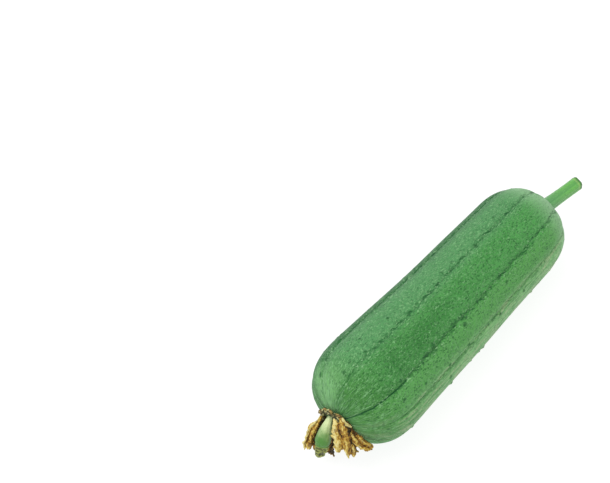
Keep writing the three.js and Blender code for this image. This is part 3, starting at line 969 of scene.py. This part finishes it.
def make_stem():
    """The outline turned round a slightly bent line, with ribs that fade at the foot."""
    foot = stem_middle + [-0.6, 0, 0]
    bend = foot + [STEM_LENGTH / 2, -STEM_LEAN * 0.55, 0]
    curve = [foot, bend, foot + [STEM_LENGTH * 0.985, -STEM_LEAN, 0]]
    round_turn = np.linspace(0, 2 * math.pi, STEM_COLUMNS, endpoint=False)
    share, turn = np.broadcast_arrays(stem_share[:, None], round_turn[None, :])
    ribs = 0.05 * np.cos(STEM_RIBS * turn + 0.5 * share) + 0.015 * np.cos(13 * turn + 2)
    uneven = 0.02 * unit_noise(9 * share, np.cos(turn) * 2, 5)
    grown = stem_radius[:, None] * (1 + ribs * np.clip(share * 6, 0.3, 1) + uneven)
    points = along_curve(curve, share, turn, grown)
    stem = new_object("gourd_stem", pole_to_pole(points) * MM, tube_faces(*share.shape))
    set_vector(stem, "pattern_place", stalk_place(share, turn, STEM_LENGTH))
    on_cut = np.arange(len(stem_radius)) >= len(stem_radius) - CUT_ROWS
    inward = np.where(on_cut, 1 - stem_radius / stem_radius.max(), 0)
    set_attribute(stem, "cut_inward", pole_to_pole(np.broadcast_to(inward[:, None], share.shape)))
    set_attribute(stem, "along", pole_to_pole(share))
    set_attribute(stem, "rib", pole_to_pole(ribs))
    return stem


stem = make_stem()
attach(stem, "root")
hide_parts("stem")
print("stem faces", len(stem.data.polygons))

# %% [markdown]
# The stem is a paler, fresher green than the fruit and gets yellower towards the cut. Just before
# the cut runs a faint pale collar, and the cut's rim has dried dark round a pale ring and a
# green middle.

# %% Stem material
STEM_FOOT = srgb(106, 168, 108)
STEM_TOP = srgb(112, 190, 88)
STEM_GROOVE = srgb(80, 150, 84)
STEM_PALE = srgb(160, 200, 150)
CUT_RIM = srgb(70, 112, 56)
CUT_PALE = srgb(190, 206, 130)
CUT_MIDDLE = srgb(140, 180, 95)


def make_stem_material():
    """Foot to top, darker between ribs, and a cut face in rings."""
    material, tree, shader = new_material("stem_green")
    place = attribute(tree, "pattern_place").outputs["Vector"]
    grains = grain(tree, stretched(tree, place, (0.3, 1, 1)), 1.3, 2.2)
    along = attribute(tree, "along").outputs["Fac"]
    colour = blend(tree, between(tree, along, 0.0, 0.8), STEM_FOOT, STEM_TOP)
    rib = between(tree, attribute(tree, "rib").outputs["Fac"], 0.0, -0.05, 0.0, 0.5)
    colour = blend(tree, rib, colour, STEM_GROOVE)
    colour = blend(tree, product(tree, grains["Flecks"], 0.25), colour, SKIN_FLECK)
    colour = blend(tree, product(tree, grains["Pores"], 0.4), colour, STEM_GROOVE)
    colour = blend(tree, between(tree, along, 0.12, 0.02, 0.0, 0.6), colour, STEM_PALE)
    collar = product(tree, between(tree, along, 0.91, 0.935), between(tree, along, 0.965, 0.945), 0.3)
    colour = blend(tree, collar, colour, CUT_PALE)
    colour = blend(tree, between(tree, along, 0.95, 0.985, 0.0, 0.8), colour, CUT_RIM)
    inward = attribute(tree, "cut_inward").outputs["Fac"]
    colour = blend(tree, between(tree, inward, 0.14, 0.3), colour, CUT_PALE)
    colour = blend(tree, between(tree, inward, 0.34, 0.6), colour, CUT_MIDDLE)
    join_surface(tree, shader, colour, grains["Height"], 0.35, 0.0003)
    set_inputs(shader, {"Roughness": 0.5, "Specular IOR Level": 0.35, "Sheen Weight": 0.2})
    return material


stem.data.materials.append(make_stem_material())
print("stem nodes", len(stem.data.materials[0].node_tree.nodes))

# %% [markdown]
# Crumpled things need an uneven field that has creases. A lattice noise draws a random height at
# each point of a square lattice and joins them by smooth steps. Its size, with the sign thrown
# away, has sharp valleys wherever it crosses zero, and a sum of such fields, each twice as fine
# and a little over half as high, looks like crumpled paper.

# %% Crumpled fields
LATTICE = 64
LAYER_SHARE = 0.58


def lattice_noise(u, v, seed):
    """Random heights from -1 to 1 on whole numbers of u and v, blended by s * s * (3 - 2 s) between."""
    heights = np.random.default_rng(seed).uniform(-1, 1, (LATTICE, LATTICE))
    u, v = np.broadcast_arrays(np.asarray(u, float), np.asarray(v, float))
    low_u, low_v = np.floor(u).astype(int), np.floor(v).astype(int)
    step_u, step_v = u - low_u, v - low_v
    step_u = step_u * step_u * (3 - 2 * step_u)
    step_v = step_v * step_v * (3 - 2 * step_v)
    corner = [[heights[(low_u + i) % LATTICE, (low_v + j) % LATTICE] for j in (0, 1)] for i in (0, 1)]
    first = corner[0][0] * (1 - step_v) + corner[0][1] * step_v
    second = corner[1][0] * (1 - step_v) + corner[1][1] * step_v
    return first * (1 - step_u) + second * step_u


def crumple(u, v, seed, layers=4):
    """Sum of 1 - 2.4 * |noise|, each layer twice as fine and a little over half as high."""
    total = 0
    weight = 0
    for layer in range(layers):
        share = LAYER_SHARE ** layer
        pace = 2 ** layer
        field = lattice_noise(u * pace + 7 * layer, v * pace, seed + layer)
        total = total + share * (1 - 2.4 * np.abs(field))
        weight += share
    return total / weight


sample = crumple(np.linspace(0, 9, 200)[:, None], np.linspace(0, 5, 120)[None, :], 3)
print("crumple from", round(float(sample.min()), 2), "to", round(float(sample.max()), 2))

# %% [markdown]
# The style is the column that once led pollen to the seeds. It is pale and slim at its root,
# swells downwards, and ends in the stigma's three lobes, which are crinkled and have dried in
# wrinkles. It hangs out of the ring by its own weight.

# %% Style and stigma: the half-width
STYLE_ROOT_RADIUS = 1.9
STYLE_FULL_RADIUS = 4.9
STYLE_SWELL = 1.7
STIGMA_START = 0.72
STIGMA_NARROWER = 0.22
WAIST_DEPTH = 0.16
WAIST_WIDTH = 0.025
LOBE_HEIGHT = 0.14
CRINKLE_HEIGHT = 0.17
WRINKLE_DEPTH = 0.2


def stigma_skin(share, turn):
    """Crinkles, which are crumpled fields read on the cosine and sine of the turn so that they
    close round the stigma, and wrinkles, the size of a noise that is long round it."""
    side, up = np.cos(turn), np.sin(turn)
    crinkle = crumple(9 * share, 1.6 * side + 6, 11), crumple(9 * share, 1.6 * up + 12, 17)
    wrinkle = lattice_noise(26 * share, 3 * side + 20, 31) + lattice_noise(26 * share, 3 * up + 30, 37)
    return crinkle, np.abs(wrinkle)


def style_radius(share, turn):
    """Half-width, share of the way down the stigma, and its crinkles less its wrinkles, which the
    material reads. It swells as a sine towards the stigma, which is rounded off, lobed and crinkled,
    less its wrinkles."""
    swell = np.sin(math.pi / 2 * np.minimum(share / STIGMA_START, 1)) ** STYLE_SWELL
    radius = STYLE_ROOT_RADIUS + (STYLE_FULL_RADIUS - STYLE_ROOT_RADIUS) * swell
    stigma = np.clip((share - STIGMA_START) / (1 - STIGMA_START), 0, 1)
    radius = radius * (1 - STIGMA_NARROWER * np.minimum(stigma * 3, 1))
    radius = radius * np.sqrt(np.clip(1 - stigma ** 3, 0, 1))
    waist = 1 - WAIST_DEPTH * np.exp(-(((share - STIGMA_START) / WAIST_WIDTH) ** 2))
    lobes = LOBE_HEIGHT * np.minimum(stigma * 4, 1) * np.cos(3 * turn)
    ribs = 0.02 * np.cos(9 * turn + 2 * share) * (1 - np.minimum(stigma * 4, 1))
    begun = np.minimum(stigma * 5, 1)
    crinkles, wrinkle = stigma_skin(share, turn)
    crinkle = begun * crinkles[0] * 0.5 + begun * crinkles[1] * 0.5
    wrinkle = begun * wrinkle
    relief = 1 + lobes + CRINKLE_HEIGHT * crinkle - WRINKLE_DEPTH * wrinkle + ribs
    return radius * waist * relief, stigma, crinkle - 0.7 * wrinkle


print("style from", 2 * STYLE_ROOT_RADIUS, "to", 2 * STYLE_FULL_RADIUS, "mm thick")

# %% Style and stigma: the mesh
STYLE_ROOT = (-0.8, 3.4, 0.7)
STYLE_BEND = (-8.4, 1.8, -2.9)
STYLE_TIP = (-15.6, 0.2, -25)
STYLE_LENGTH = 30
STYLE_ROWS = 170
STYLE_COLUMNS = 112


def make_style():
    """The half-width turned round the hanging curve, with closer rows at both ends."""
    curve = [blossom_middle + p for p in (STYLE_ROOT, STYLE_BEND, STYLE_TIP)]
    rows = (0.5 - 0.5 * np.cos(np.linspace(0, math.pi, STYLE_ROWS))) ** 0.85
    round_turn = np.linspace(0, 2 * math.pi, STYLE_COLUMNS, endpoint=False)
    share, turn = np.broadcast_arrays(rows[:, None], round_turn[None, :])
    radius, stigma, crinkle = style_radius(share, turn)
    radius[0] = radius[-1] = 0
    points = pole_to_pole(along_curve(curve, share, turn, radius))
    style = new_object("gourd_style", points * MM, tube_faces(*share.shape))
    set_vector(style, "pattern_place", stalk_place(share, turn, STYLE_LENGTH))
    for name, values in {"along": share, "stigma": stigma, "crinkle": crinkle}.items():
        set_attribute(style, name, pole_to_pole(values))
    return style


style = make_style()
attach(style, "root")
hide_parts("style_and_stigma")
print("style faces", len(style.data.polygons))

# %% [markdown]
# The style keeps its sap longest. Its root is nearly white, partly its own colour and partly painted
# highlight, and its swelling a fresh green, with an uneven border. The stigma has begun to dry, and the
# material reads the crinkles that the shape was made of: its raised parts are olive and the rest brown.

# %% Style material
# Partly the root's own colour, partly painted highlight.
STYLE_PALE_HIGHLIGHT = srgb(222, 238, 176)
STYLE_GREEN = srgb(76, 138, 50)
STIGMA_OLIVE = srgb(164, 172, 88)
STIGMA_BROWN = srgb(76, 80, 36)


def make_style_material():
    """Pale at the root, partly painted highlight, green where it swells, and on the stigma olive on the
    raised crinkles and brown between.
    """
    material, tree, shader = new_material("style_green")
    place = attribute(tree, "pattern_place").outputs["Vector"]
    grains = grain(tree, stretched(tree, place, (0.3, 1, 1)), 0.9, 1.6)
    uneven = product(tree, noise(tree, place, 0.25, 2.0), 0.25)
    greener = maths(tree, "ADD", attribute(tree, "along").outputs["Fac"], uneven)
    colour = blend(tree, between(tree, greener, 0.3, 0.75), STYLE_PALE_HIGHLIGHT, STYLE_GREEN)
    specks = product(tree, noise(tree, place, 1.3, 3.0, 0.6), 1.4)
    crinkle_and_specks = maths(tree, "ADD", attribute(tree, "crinkle").outputs["Fac"], specks)
    lobes = blend(tree, between(tree, crinkle_and_specks, 0.05, 0.95), STIGMA_BROWN, STIGMA_OLIVE)
    stigma = between(tree, attribute(tree, "stigma").outputs["Fac"], 0.0, 0.15)
    colour = blend(tree, stigma, colour, lobes)
    colour = blend(tree, product(tree, grains["Pores"], 0.25), colour, STYLE_GREEN)
    join_surface(tree, shader, colour, grains["Height"], 0.3, 0.0003)
    set_inputs(shader, {"Roughness": 0.42})
    return material


style.data.materials.append(make_style_material())
print("style nodes", len(style.data.materials[0].node_tree.nodes))

# %% [markdown]
# A dry petal was a broad soft sheet that shrank into folds. Its midrib is a curve from the calyx
# ring over a high point to its tip. It is gathered narrow at its root and spreads, then ends
# ragged. Across the midrib the sheet is cupped and folded, and creases run over it in all
# directions.
#
# Each petal has its own numbers. Root is its place round the ring in degrees, over and tip are the
# midrib's high point and end, measured from the flower's middle, and faces is the way its upper side
# looks. Gather is the root's width as a share of the full width, and taper is what the tip loses. Folds
# and phase count and shift the waves across. Tone is how pale it is, and shade is painted light and
# shade: how much paler one side is and darker the other, the inner side in shadow. Shrunk is how far the
# paler side has drawn in near the root.

# %% Petals: where they hang
RING_RADIUS = 8.6
RING_DROP = 1.5
RING_DEPTH = 1.4
PETALS = [
    {"root": 2, "over": (-10.7, 11.4, -8.6), "tip": (-16, 7.5, -25.5), "faces": (-5, -2, 8),
     "width": 10, "gather": 0.35, "folds": 0.9, "phase": 0.1, "taper": 0.1, "tone": 0.42,
     "shade": 0.5, "shrunk": 0.8},
    {"root": 100, "over": (-6.2, -11.2, 7), "tip": (-9.6, -14.5, -12.4), "faces": (-7, -4, 6),
     "width": 15, "gather": 0.62, "folds": 0.95, "phase": 0.3, "taper": 0, "tone": 0.5,
     "shade": 0.4, "shrunk": 0},
    {"root": 146, "over": (-2.8, -18.6, -3), "tip": (2.3, -26.4, -8.9), "faces": (-4, -5, 8),
     "width": 7.6, "gather": 0.6, "folds": 0.7, "phase": 0.8, "taper": 0.25, "tone": 0.44,
     "shade": 0.1, "shrunk": 0},
    {"root": 186, "over": (-7.2, -17, -5.2), "tip": (-5.2, -18.1, -16.6), "faces": (-6, -6, 3),
     "width": 9, "gather": 0.6, "folds": 0.8, "phase": 0.25, "taper": 0.15, "tone": 0.5,
     "shade": 0.1, "shrunk": 0},
    {"root": 275, "over": (-4.7, 4.5, -20.2), "tip": (-7, -0.3, -29.7), "faces": (-8, 3, -4),
     "width": 13, "gather": 0.55, "folds": 1.3, "phase": 0.65, "taper": 0.1, "tone": 0.15,
     "shade": 0, "shrunk": 0},
]


def petal_frame(petal, along):
    """The midrib's curve, and the directions across the blade and out of it, for each row."""
    turn = math.radians(petal["root"])
    round_ring = [-RING_DEPTH, RING_RADIUS * math.cos(turn), RING_RADIUS * math.sin(turn) - RING_DROP]
    curve = [blossom_middle + p for p in (round_ring, petal["over"], petal["tip"])]
    forward = curve_direction(curve, along)
    side = np.cross(forward, np.array(petal["faces"], float))
    side = side / np.linalg.norm(side, axis=-1, keepdims=True)
    return curve_place(curve, along), side, np.cross(side, forward)


print(len(PETALS), "petals")

# %% [markdown]
# Some petals lie against the fruit. Where a formula would put a point inside the skin, the point
# is moved out along X, so the petal follows the curve of the blossom end as a limp one would.

# %% Petals: clear of the fruit
def blossom_face_x(off):
    """Where the blossom end's skin lies at a distance from its middle: the cap's formula turned
    round."""
    share = np.minimum(off / BLOSSOM_RADIUS, 1)
    closed = (1 - share ** BLOSSOM_CAP["squareness"]) ** (1 / BLOSSOM_CAP["fullness"])
    return blossom_x + BLOSSOM_CAP["length"] * (1 - closed)


def clear_of_fruit(points, clearance):
    """Moves points towards the flower's side until they clear the skin."""
    off = np.hypot(points[..., 1] - blossom_middle[1], points[..., 2] - blossom_middle[2])
    limit = blossom_face_x(off) - clearance
    return np.concatenate([np.minimum(points[..., :1], limit[..., None]), points[..., 1:]], axis=-1)


print("skin under the ring starts at", round(float(blossom_face_x(RING_RADIUS)), 1), "mm")

# %% Petals: their crumpled sheets
PETAL_ROWS = 104
PETAL_COLUMNS = 64
PETAL_CURL = 0.9
PETAL_FULL = 0.55
PETAL_CLEARANCE = 0.6
FOLD_HEIGHT = 1.1
CRUMPLE_HEIGHT = 1.2
RAGGED_END = 0.1
RAGGED_SIDE = 0.28
SHRUNK_PLACE = 0.2
# Painted light and shade: how much creases, folds and pleats lighten their crests and darken their
# valleys.
CREASE_LIGHT_AND_SHADE = 0.34
FOLD_LIGHT_AND_SHADE = 0.16
PLEAT_LIGHT_AND_SHADE = 0.2


def petal_half(petal, along, across, seed):
    """Half of the blade's width: gathered at the root, opening as a sine, tapered by a square and
    ragged by noise, and drawn in by a bell curve on one side where the petal is shrunk."""
    opened = np.sin(math.pi / 2 * np.minimum(along / PETAL_FULL, 1))
    spread = petal["gather"] + (1 - petal["gather"]) * opened - petal["taper"] * along ** 2
    ragged = lattice_noise(9 * along, 5 * np.sign(across), seed + 2)
    ragged = ragged + 0.6 * lattice_noise(24 * along, 5 * np.sign(across), seed + 3)
    half = petal["width"] / 2 * spread * (1 + RAGGED_SIDE * along * ragged * across ** 2)
    bell = np.exp(-(((along - SHRUNK_PLACE) / SHRUNK_PLACE) ** 2))
    return half * (1 - petal["shrunk"] * bell * (across > 0))


def petal_sheet(petal, seed):
    """Midrib plus a cupped step across, plus folds and creases out of the blade. Its length varies
    unevenly, so the end is ragged. The tone carries painted light and shade: paler on the crests of
    creases and folds and darker in their valleys, with pale and dark bands for the pleats at the root."""
    across = np.linspace(-1, 1, PETAL_COLUMNS)[None, :]
    along = np.linspace(0, 1, PETAL_ROWS)[:, None]
    torn = lattice_noise(2 * across, 0.5, seed) + 0.25 * lattice_noise(8 * across, 0.5, seed + 1)
    middle, side, outward = petal_frame(petal, along * (0.97 + RAGGED_END * torn * along ** 2))
    half = petal_half(petal, along, across, seed)
    drift = 0.5 * lattice_noise(3 * along, 0.5, seed + 4)
    fold = petal["folds"] * across * (1 + 0.3 * along) + petal["phase"] + drift
    fold = np.cos(2 * math.pi * fold)
    crease = crumple(5 * along, half * across / 2.6 + 20 + 0.6 * fold, seed + 10, 5)
    crease = crease * (0.3 + 0.7 * along)
    height = FOLD_HEIGHT * (0.5 + 0.5 * along) * fold + CRUMPLE_HEIGHT * crease
    step = half * np.sin(PETAL_CURL * across) / PETAL_CURL
    cup = half * (np.cos(PETAL_CURL * across) - 1)
    points = middle + side * step[..., None] + outward * (cup + height)[..., None]
    pleat = np.cos(2 * math.pi * (1.5 * across + petal["phase"] + 0.5 * drift)) * (1 - along)
    # Painted light and shade: one side of the petal paler and the other darker.
    tone = petal["tone"] + petal["shade"] * across
    # Painted light and shade: crests of creases and folds paler, their valleys darker, and the pleats as
    # bands.
    tone = tone + CREASE_LIGHT_AND_SHADE * crease + FOLD_LIGHT_AND_SHADE * fold + PLEAT_LIGHT_AND_SHADE * pleat
    fibre = np.stack([half * across, 30 * along + 0 * half, seed + 0 * tone], -1)
    return clear_of_fruit(points, PETAL_CLEARANCE), along, across, tone, fibre


sheets = [petal_sheet(petal, 20 + 40 * number) for number, petal in enumerate(PETALS)]
print("petal points", sum(sheet[0].shape[0] * sheet[0].shape[1] for sheet in sheets))

# %% [markdown]
# The petals grow out of the calyx, a dried ring with small pointed sepals. The ring is a tube
# bent round on itself, toothed, jagged and crumpled. Each sepal is a short petal.

# %% Calyx ring
RING_THICKNESS = 1.9
RING_TEETH = 11
RING_CLEARANCE = 0.05


def calyx_ring():
    """A circle plus an oval section, with teeth as a cosine round it, crumpled along and across.
    Gives its points, tone and pattern place."""
    turn = np.linspace(0, 2 * math.pi, 240, endpoint=False)[:, None]
    section = np.linspace(0, 2 * math.pi, 28, endpoint=False)[None, :]
    outer, front = np.cos(section), np.sin(section)
    tooth = 0.5 * np.cos(RING_TEETH * turn) + 0.25 * np.sin(3 * turn)
    crease = crumple(3 * np.cos(turn) + 8 + outer, 3 * np.sin(turn) + 8 + front, 91, 5)
    jag = lattice_noise(LATTICE * turn / (2 * math.pi), 2 + 0 * section, 92) * np.maximum(outer, 0)
    off = RING_RADIUS + (RING_THICKNESS - 0.6 + 0.5 * crease) * outer + tooth + 0.7 * jag
    x = blossom_x - RING_DEPTH - 0.2 + (RING_DEPTH + 0.45 * crease) * front + 0.2 * tooth
    y = blossom_middle[1] + off * np.cos(turn)
    z = blossom_middle[2] + off * np.sin(turn) - RING_DROP
    fibre = np.stack([RING_RADIUS * turn + 0 * x, RING_THICKNESS * section + 0 * x, 0 * x], -1)
    points = clear_of_fruit(np.stack([x, y, z], -1), RING_CLEARANCE)
    # Painted light and shade: the ring's tone is paler on its crumpled crests and jagged outer bits and
    # darker in the valleys.
    return points, 0.8 * crease + 0.5 * jag + 0.02, fibre


ring, ring_tone, ring_fibre = calyx_ring()
print("ring points", ring.shape[0] * ring.shape[1])

# %% Sepals
SEPALS = [
    {"root": 20, "over": (-3.5, 10.5, 2.6), "tip": (-3, 11.2, -0.6), "width": 4.2, "tone": 0.3},
    {"root": 46, "over": (-2.2, 7.8, 6.8), "tip": (-1.8, 6.6, 8), "width": 4, "tone": 0.25},
    {"root": 70, "over": (-2.8, 3.2, 9.2), "tip": (-2.2, 1.4, 9.8), "width": 4.4, "tone": 0.35},
    {"root": 98, "over": (-2, -2.5, 9.8), "tip": (-1, -5, 9.8), "width": 4, "tone": 0.25},
    {"root": 122, "over": (-2.6, -9.4, 7.6), "tip": (-0.4, -12.4, 5), "width": 6.4, "tone": 0.75},
    {"root": 142, "over": (-3.4, -11.4, 2.4), "tip": (-1.4, -13.2, -2), "width": 4.6, "tone": 0.5},
    {"root": 176, "over": (-3.6, -12.2, -2), "tip": (-1, -14.2, -7), "width": 4.4, "tone": 0.3},
    {"root": 236, "over": (-3, -7.4, -12.4), "tip": (-1.5, -8.4, -15.4), "width": 4.2, "tone": 0.2},
    {"root": 322, "over": (-3, 9.2, -9.6), "tip": (-1.5, 11.2, -12.6), "width": 4.2, "tone": 0.25},
]
SEPAL_ROWS = 30
SEPAL_COLUMNS = 16
SEPAL_FACES = (-1, 0, 0.2)
SEPAL_CLEARANCE = 0.35


def sepal_sheet(sepal, seed):
    """A short petal that closes to a point by a power and faces away from the fruit."""
    across = np.linspace(-1, 1, SEPAL_COLUMNS)[None, :]
    along = np.linspace(0, 1, SEPAL_ROWS)[:, None]
    middle, side, outward = petal_frame({**sepal, "faces": SEPAL_FACES}, along)
    ragged = 1 + 0.3 * lattice_noise(7 * along, np.sign(across), seed)
    half = sepal["width"] / 2 * (1 - along ** 1.6) ** 0.8 * ragged
    crease = crumple(3 * along, 2 * across + 9, seed, 3)
    height = 0.45 * crease - 0.5 * across ** 2
    points = middle + side * (half * across)[..., None] + outward * height[..., None]
    # Painted light and shade: the sepal paler on its crumpled crests and darker in the valleys.
    tone = sepal["tone"] + 0.3 * crease
    fibre = np.stack([half * across, 10 * along + 0 * half, seed + 0 * tone], -1)
    return clear_of_fruit(points, SEPAL_CLEARANCE), along, across, tone, fibre


sepals = [sepal_sheet(sepal, 300 + 10 * number) for number, sepal in enumerate(SEPALS)]
print(len(sepals), "sepals")

# %% [markdown]
# Each sheet becomes a thin closed blade: two faces and a rim. Ring, sepals and petals dried
# together into one body, so they become one mesh. Each point keeps a tone from dark to pale, how
# near it is to an edge, how dull it is, and a place on its blade. The ring is the dullest.

# %% Petals: closed blades
PETAL_HALF_THICKNESS = 0.26
SEPAL_HALF_THICKNESS = 0.18
PETAL_DULL, SEPAL_DULL, RING_DULL = 0, 0.4, 1


def blade(points, half_thickness):
    """Two faces either side of a sheet along its normal, which is the slope across it crossed
    with the slope along it, and a rim of quads round the sheet's edge."""
    normal = np.cross(np.gradient(points, axis=1), np.gradient(points, axis=0))
    normal = normal / np.maximum(np.linalg.norm(normal, axis=-1, keepdims=True), 1e-9)
    both = np.concatenate([(points + normal * half_thickness).reshape(-1, 3),
                           (points - normal * half_thickness).reshape(-1, 3)])
    rows, columns = points.shape[:2]
    count = rows * columns
    number = np.arange(count).reshape(rows, columns)
    front = [number[:-1, :-1], number[:-1, 1:], number[1:, 1:], number[1:, :-1]]
    front = np.stack(front, -1).reshape(-1, 4)
    edge = np.concatenate([number[0, :-1], number[:-1, -1], number[-1, :0:-1], number[:0:-1, 0]])
    after = np.roll(edge, -1)
    rim = np.stack([after, edge, edge + count, after + count], -1)
    return both, np.concatenate([front, front[:, ::-1] + count, rim])


def ring_faces(rows, columns):
    """Quads of a grid that closes on itself both ways."""
    number = np.arange(rows * columns).reshape(rows, columns)
    beside = np.roll(number, -1, axis=1)
    above = np.roll(number, -1, axis=0)
    return np.stack([number, above, np.roll(beside, -1, axis=0), beside], -1).reshape(-1, 4)


def point_values(edge, tone, dull, fibre):
    """Six numbers for each point: how near an edge, tone, dullness, and the place on the blade."""
    first = np.stack([edge + 0 * tone, tone, dull + 0 * tone], -1)
    return np.concatenate([first, fibre], -1).reshape(-1, 6)


def blade_part(sheet, half_thickness, dull):
    """A blade and its points' values, the same on both faces."""
    grid_points, along, across, tone, fibre = sheet
    points, faces = blade(grid_points, half_thickness)
    value = point_values(np.maximum(np.abs(across), 2 * along - 1), tone, dull, fibre)
    return points, faces, np.concatenate([value, value])


ring_values = point_values(0, ring_tone, RING_DULL, ring_fibre)
parts = [(ring.reshape(-1, 3), ring_faces(*ring.shape[:2]), ring_values)]
parts += [blade_part(sheet, PETAL_HALF_THICKNESS, PETAL_DULL) for sheet in sheets]
parts += [blade_part(sheet, SEPAL_HALF_THICKNESS, SEPAL_DULL) for sheet in sepals]
print(len(parts), "closed forms in the flower")


# %% Petals: one mesh
def join_parts(parts):
    """Points, faces and point values of several closed forms, numbered on from each other."""
    points, faces, values = [], [], []
    start = 0
    for part_points, part_faces, part_values in parts:
        points.append(part_points)
        faces.extend((part_faces + start).tolist())
        values.append(part_values)
        start += len(part_points)
    return np.concatenate(points), faces, np.concatenate(values)


def make_flower():
    """All dry parts of the flower in one object."""
    points, faces, values = join_parts(parts)
    flower = new_object("withered_flower", points * MM, faces)
    for number, name in enumerate(("edge", "tone", "dull")):
        set_attribute(flower, name, values[:, number])
    set_vector(flower, "fibre_place", values[:, 3:])
    return flower


flower = make_flower()
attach(flower, "root")
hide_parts("withered_petals")
print("flower faces", len(flower.data.polygons))

# %% [markdown]
# One material dresses the whole dry flower. It adds patches, streaks along the blade and fine
# specks to the kept tone and reads the sum off a row of colours, from dark brown over rust to
# pale gold. Where a point is dull, as on the ring, grey-green straw replaces the gold.

# %% Dry petal material
PETAL_STOPS = [
    (0.0, srgb(34, 28, 14)), (0.2, srgb(78, 60, 28)), (0.38, srgb(140, 96, 38)),
    (0.56, srgb(184, 144, 54)), (0.76, srgb(214, 188, 92)), (1.0, srgb(238, 224, 150)),
]
PETAL_GREY = srgb(128, 116, 98)
CALYX_DARK = srgb(58, 60, 32)
CALYX_PALE = srgb(208, 210, 152)
CALYX_SHARE = 0.85
PATCH_WEIGHT = 0.7
STREAK_WEIGHT = 1.3
SPECK_WEIGHT = 1.5
MARK_MEAN = 1.75


def ramp(tree, value, stops):
    """A colour read off a row of stops, each a value and its colour."""
    made = add(tree, "ShaderNodeValToRGB", {0: value})
    elements = made.color_ramp.elements
    for place, colour in stops[1:-1]:
        elements.new(place).color = colour
    elements[0].position, elements[0].color = stops[0]
    elements[-1].position, elements[-1].color = stops[-1]
    return made.outputs["Color"]


def petal_value(tree, place, specks):
    """The kept tone plus patches, streaks and specks, less what these three add on average."""
    fibre = attribute(tree, "fibre_place").outputs["Vector"]
    streaks = noise(tree, stretched(tree, fibre, (1, 0.28, 1)), 0.9, 3.0, 0.6)
    patches = noise(tree, place, 240.0, 4.0, 0.65)
    value = attribute(tree, "tone").outputs["Fac"]
    for mark, weight in ((patches, PATCH_WEIGHT), (streaks, STREAK_WEIGHT), (specks, SPECK_WEIGHT)):
        value = maths(tree, "ADD", value, product(tree, mark, weight))
    return maths(tree, "SUBTRACT", value, MARK_MEAN)


def make_petal_material():
    """The value, raised a little on thin edges, read off the row of stops, with grey patches and
    the calyx's duller colours over it."""
    material, tree, shader = new_material("dry_petal")
    place = add(tree, "ShaderNodeTexCoord").outputs["Object"]
    specks = noise(tree, place, 900.0, 3.0, 0.65)
    value = petal_value(tree, place, specks)
    edge = between(tree, attribute(tree, "edge").outputs["Fac"], 0.84, 1.0, 0.0, 0.1)
    colour = ramp(tree, maths(tree, "ADD", value, edge), PETAL_STOPS)
    grey = between(tree, noise(tree, place, 330.0, 2.0, 0.5), 0.58, 0.68, 0.0, 0.5)
    colour = blend(tree, grey, colour, PETAL_GREY)
    calyx = blend(tree, between(tree, value, 0.1, 0.9), CALYX_DARK, CALYX_PALE)
    dull = product(tree, attribute(tree, "dull").outputs["Fac"], CALYX_SHARE)
    colour = blend(tree, dull, colour, calyx)
    join_surface(tree, shader, colour, specks, 0.6, 0.0004)
    set_inputs(shader, {"Roughness": 0.75, "Specular IOR Level": 0.3})
    return material


flower.data.materials.append(make_petal_material())
print("petal nodes", len(flower.data.materials[0].node_tree.nodes))
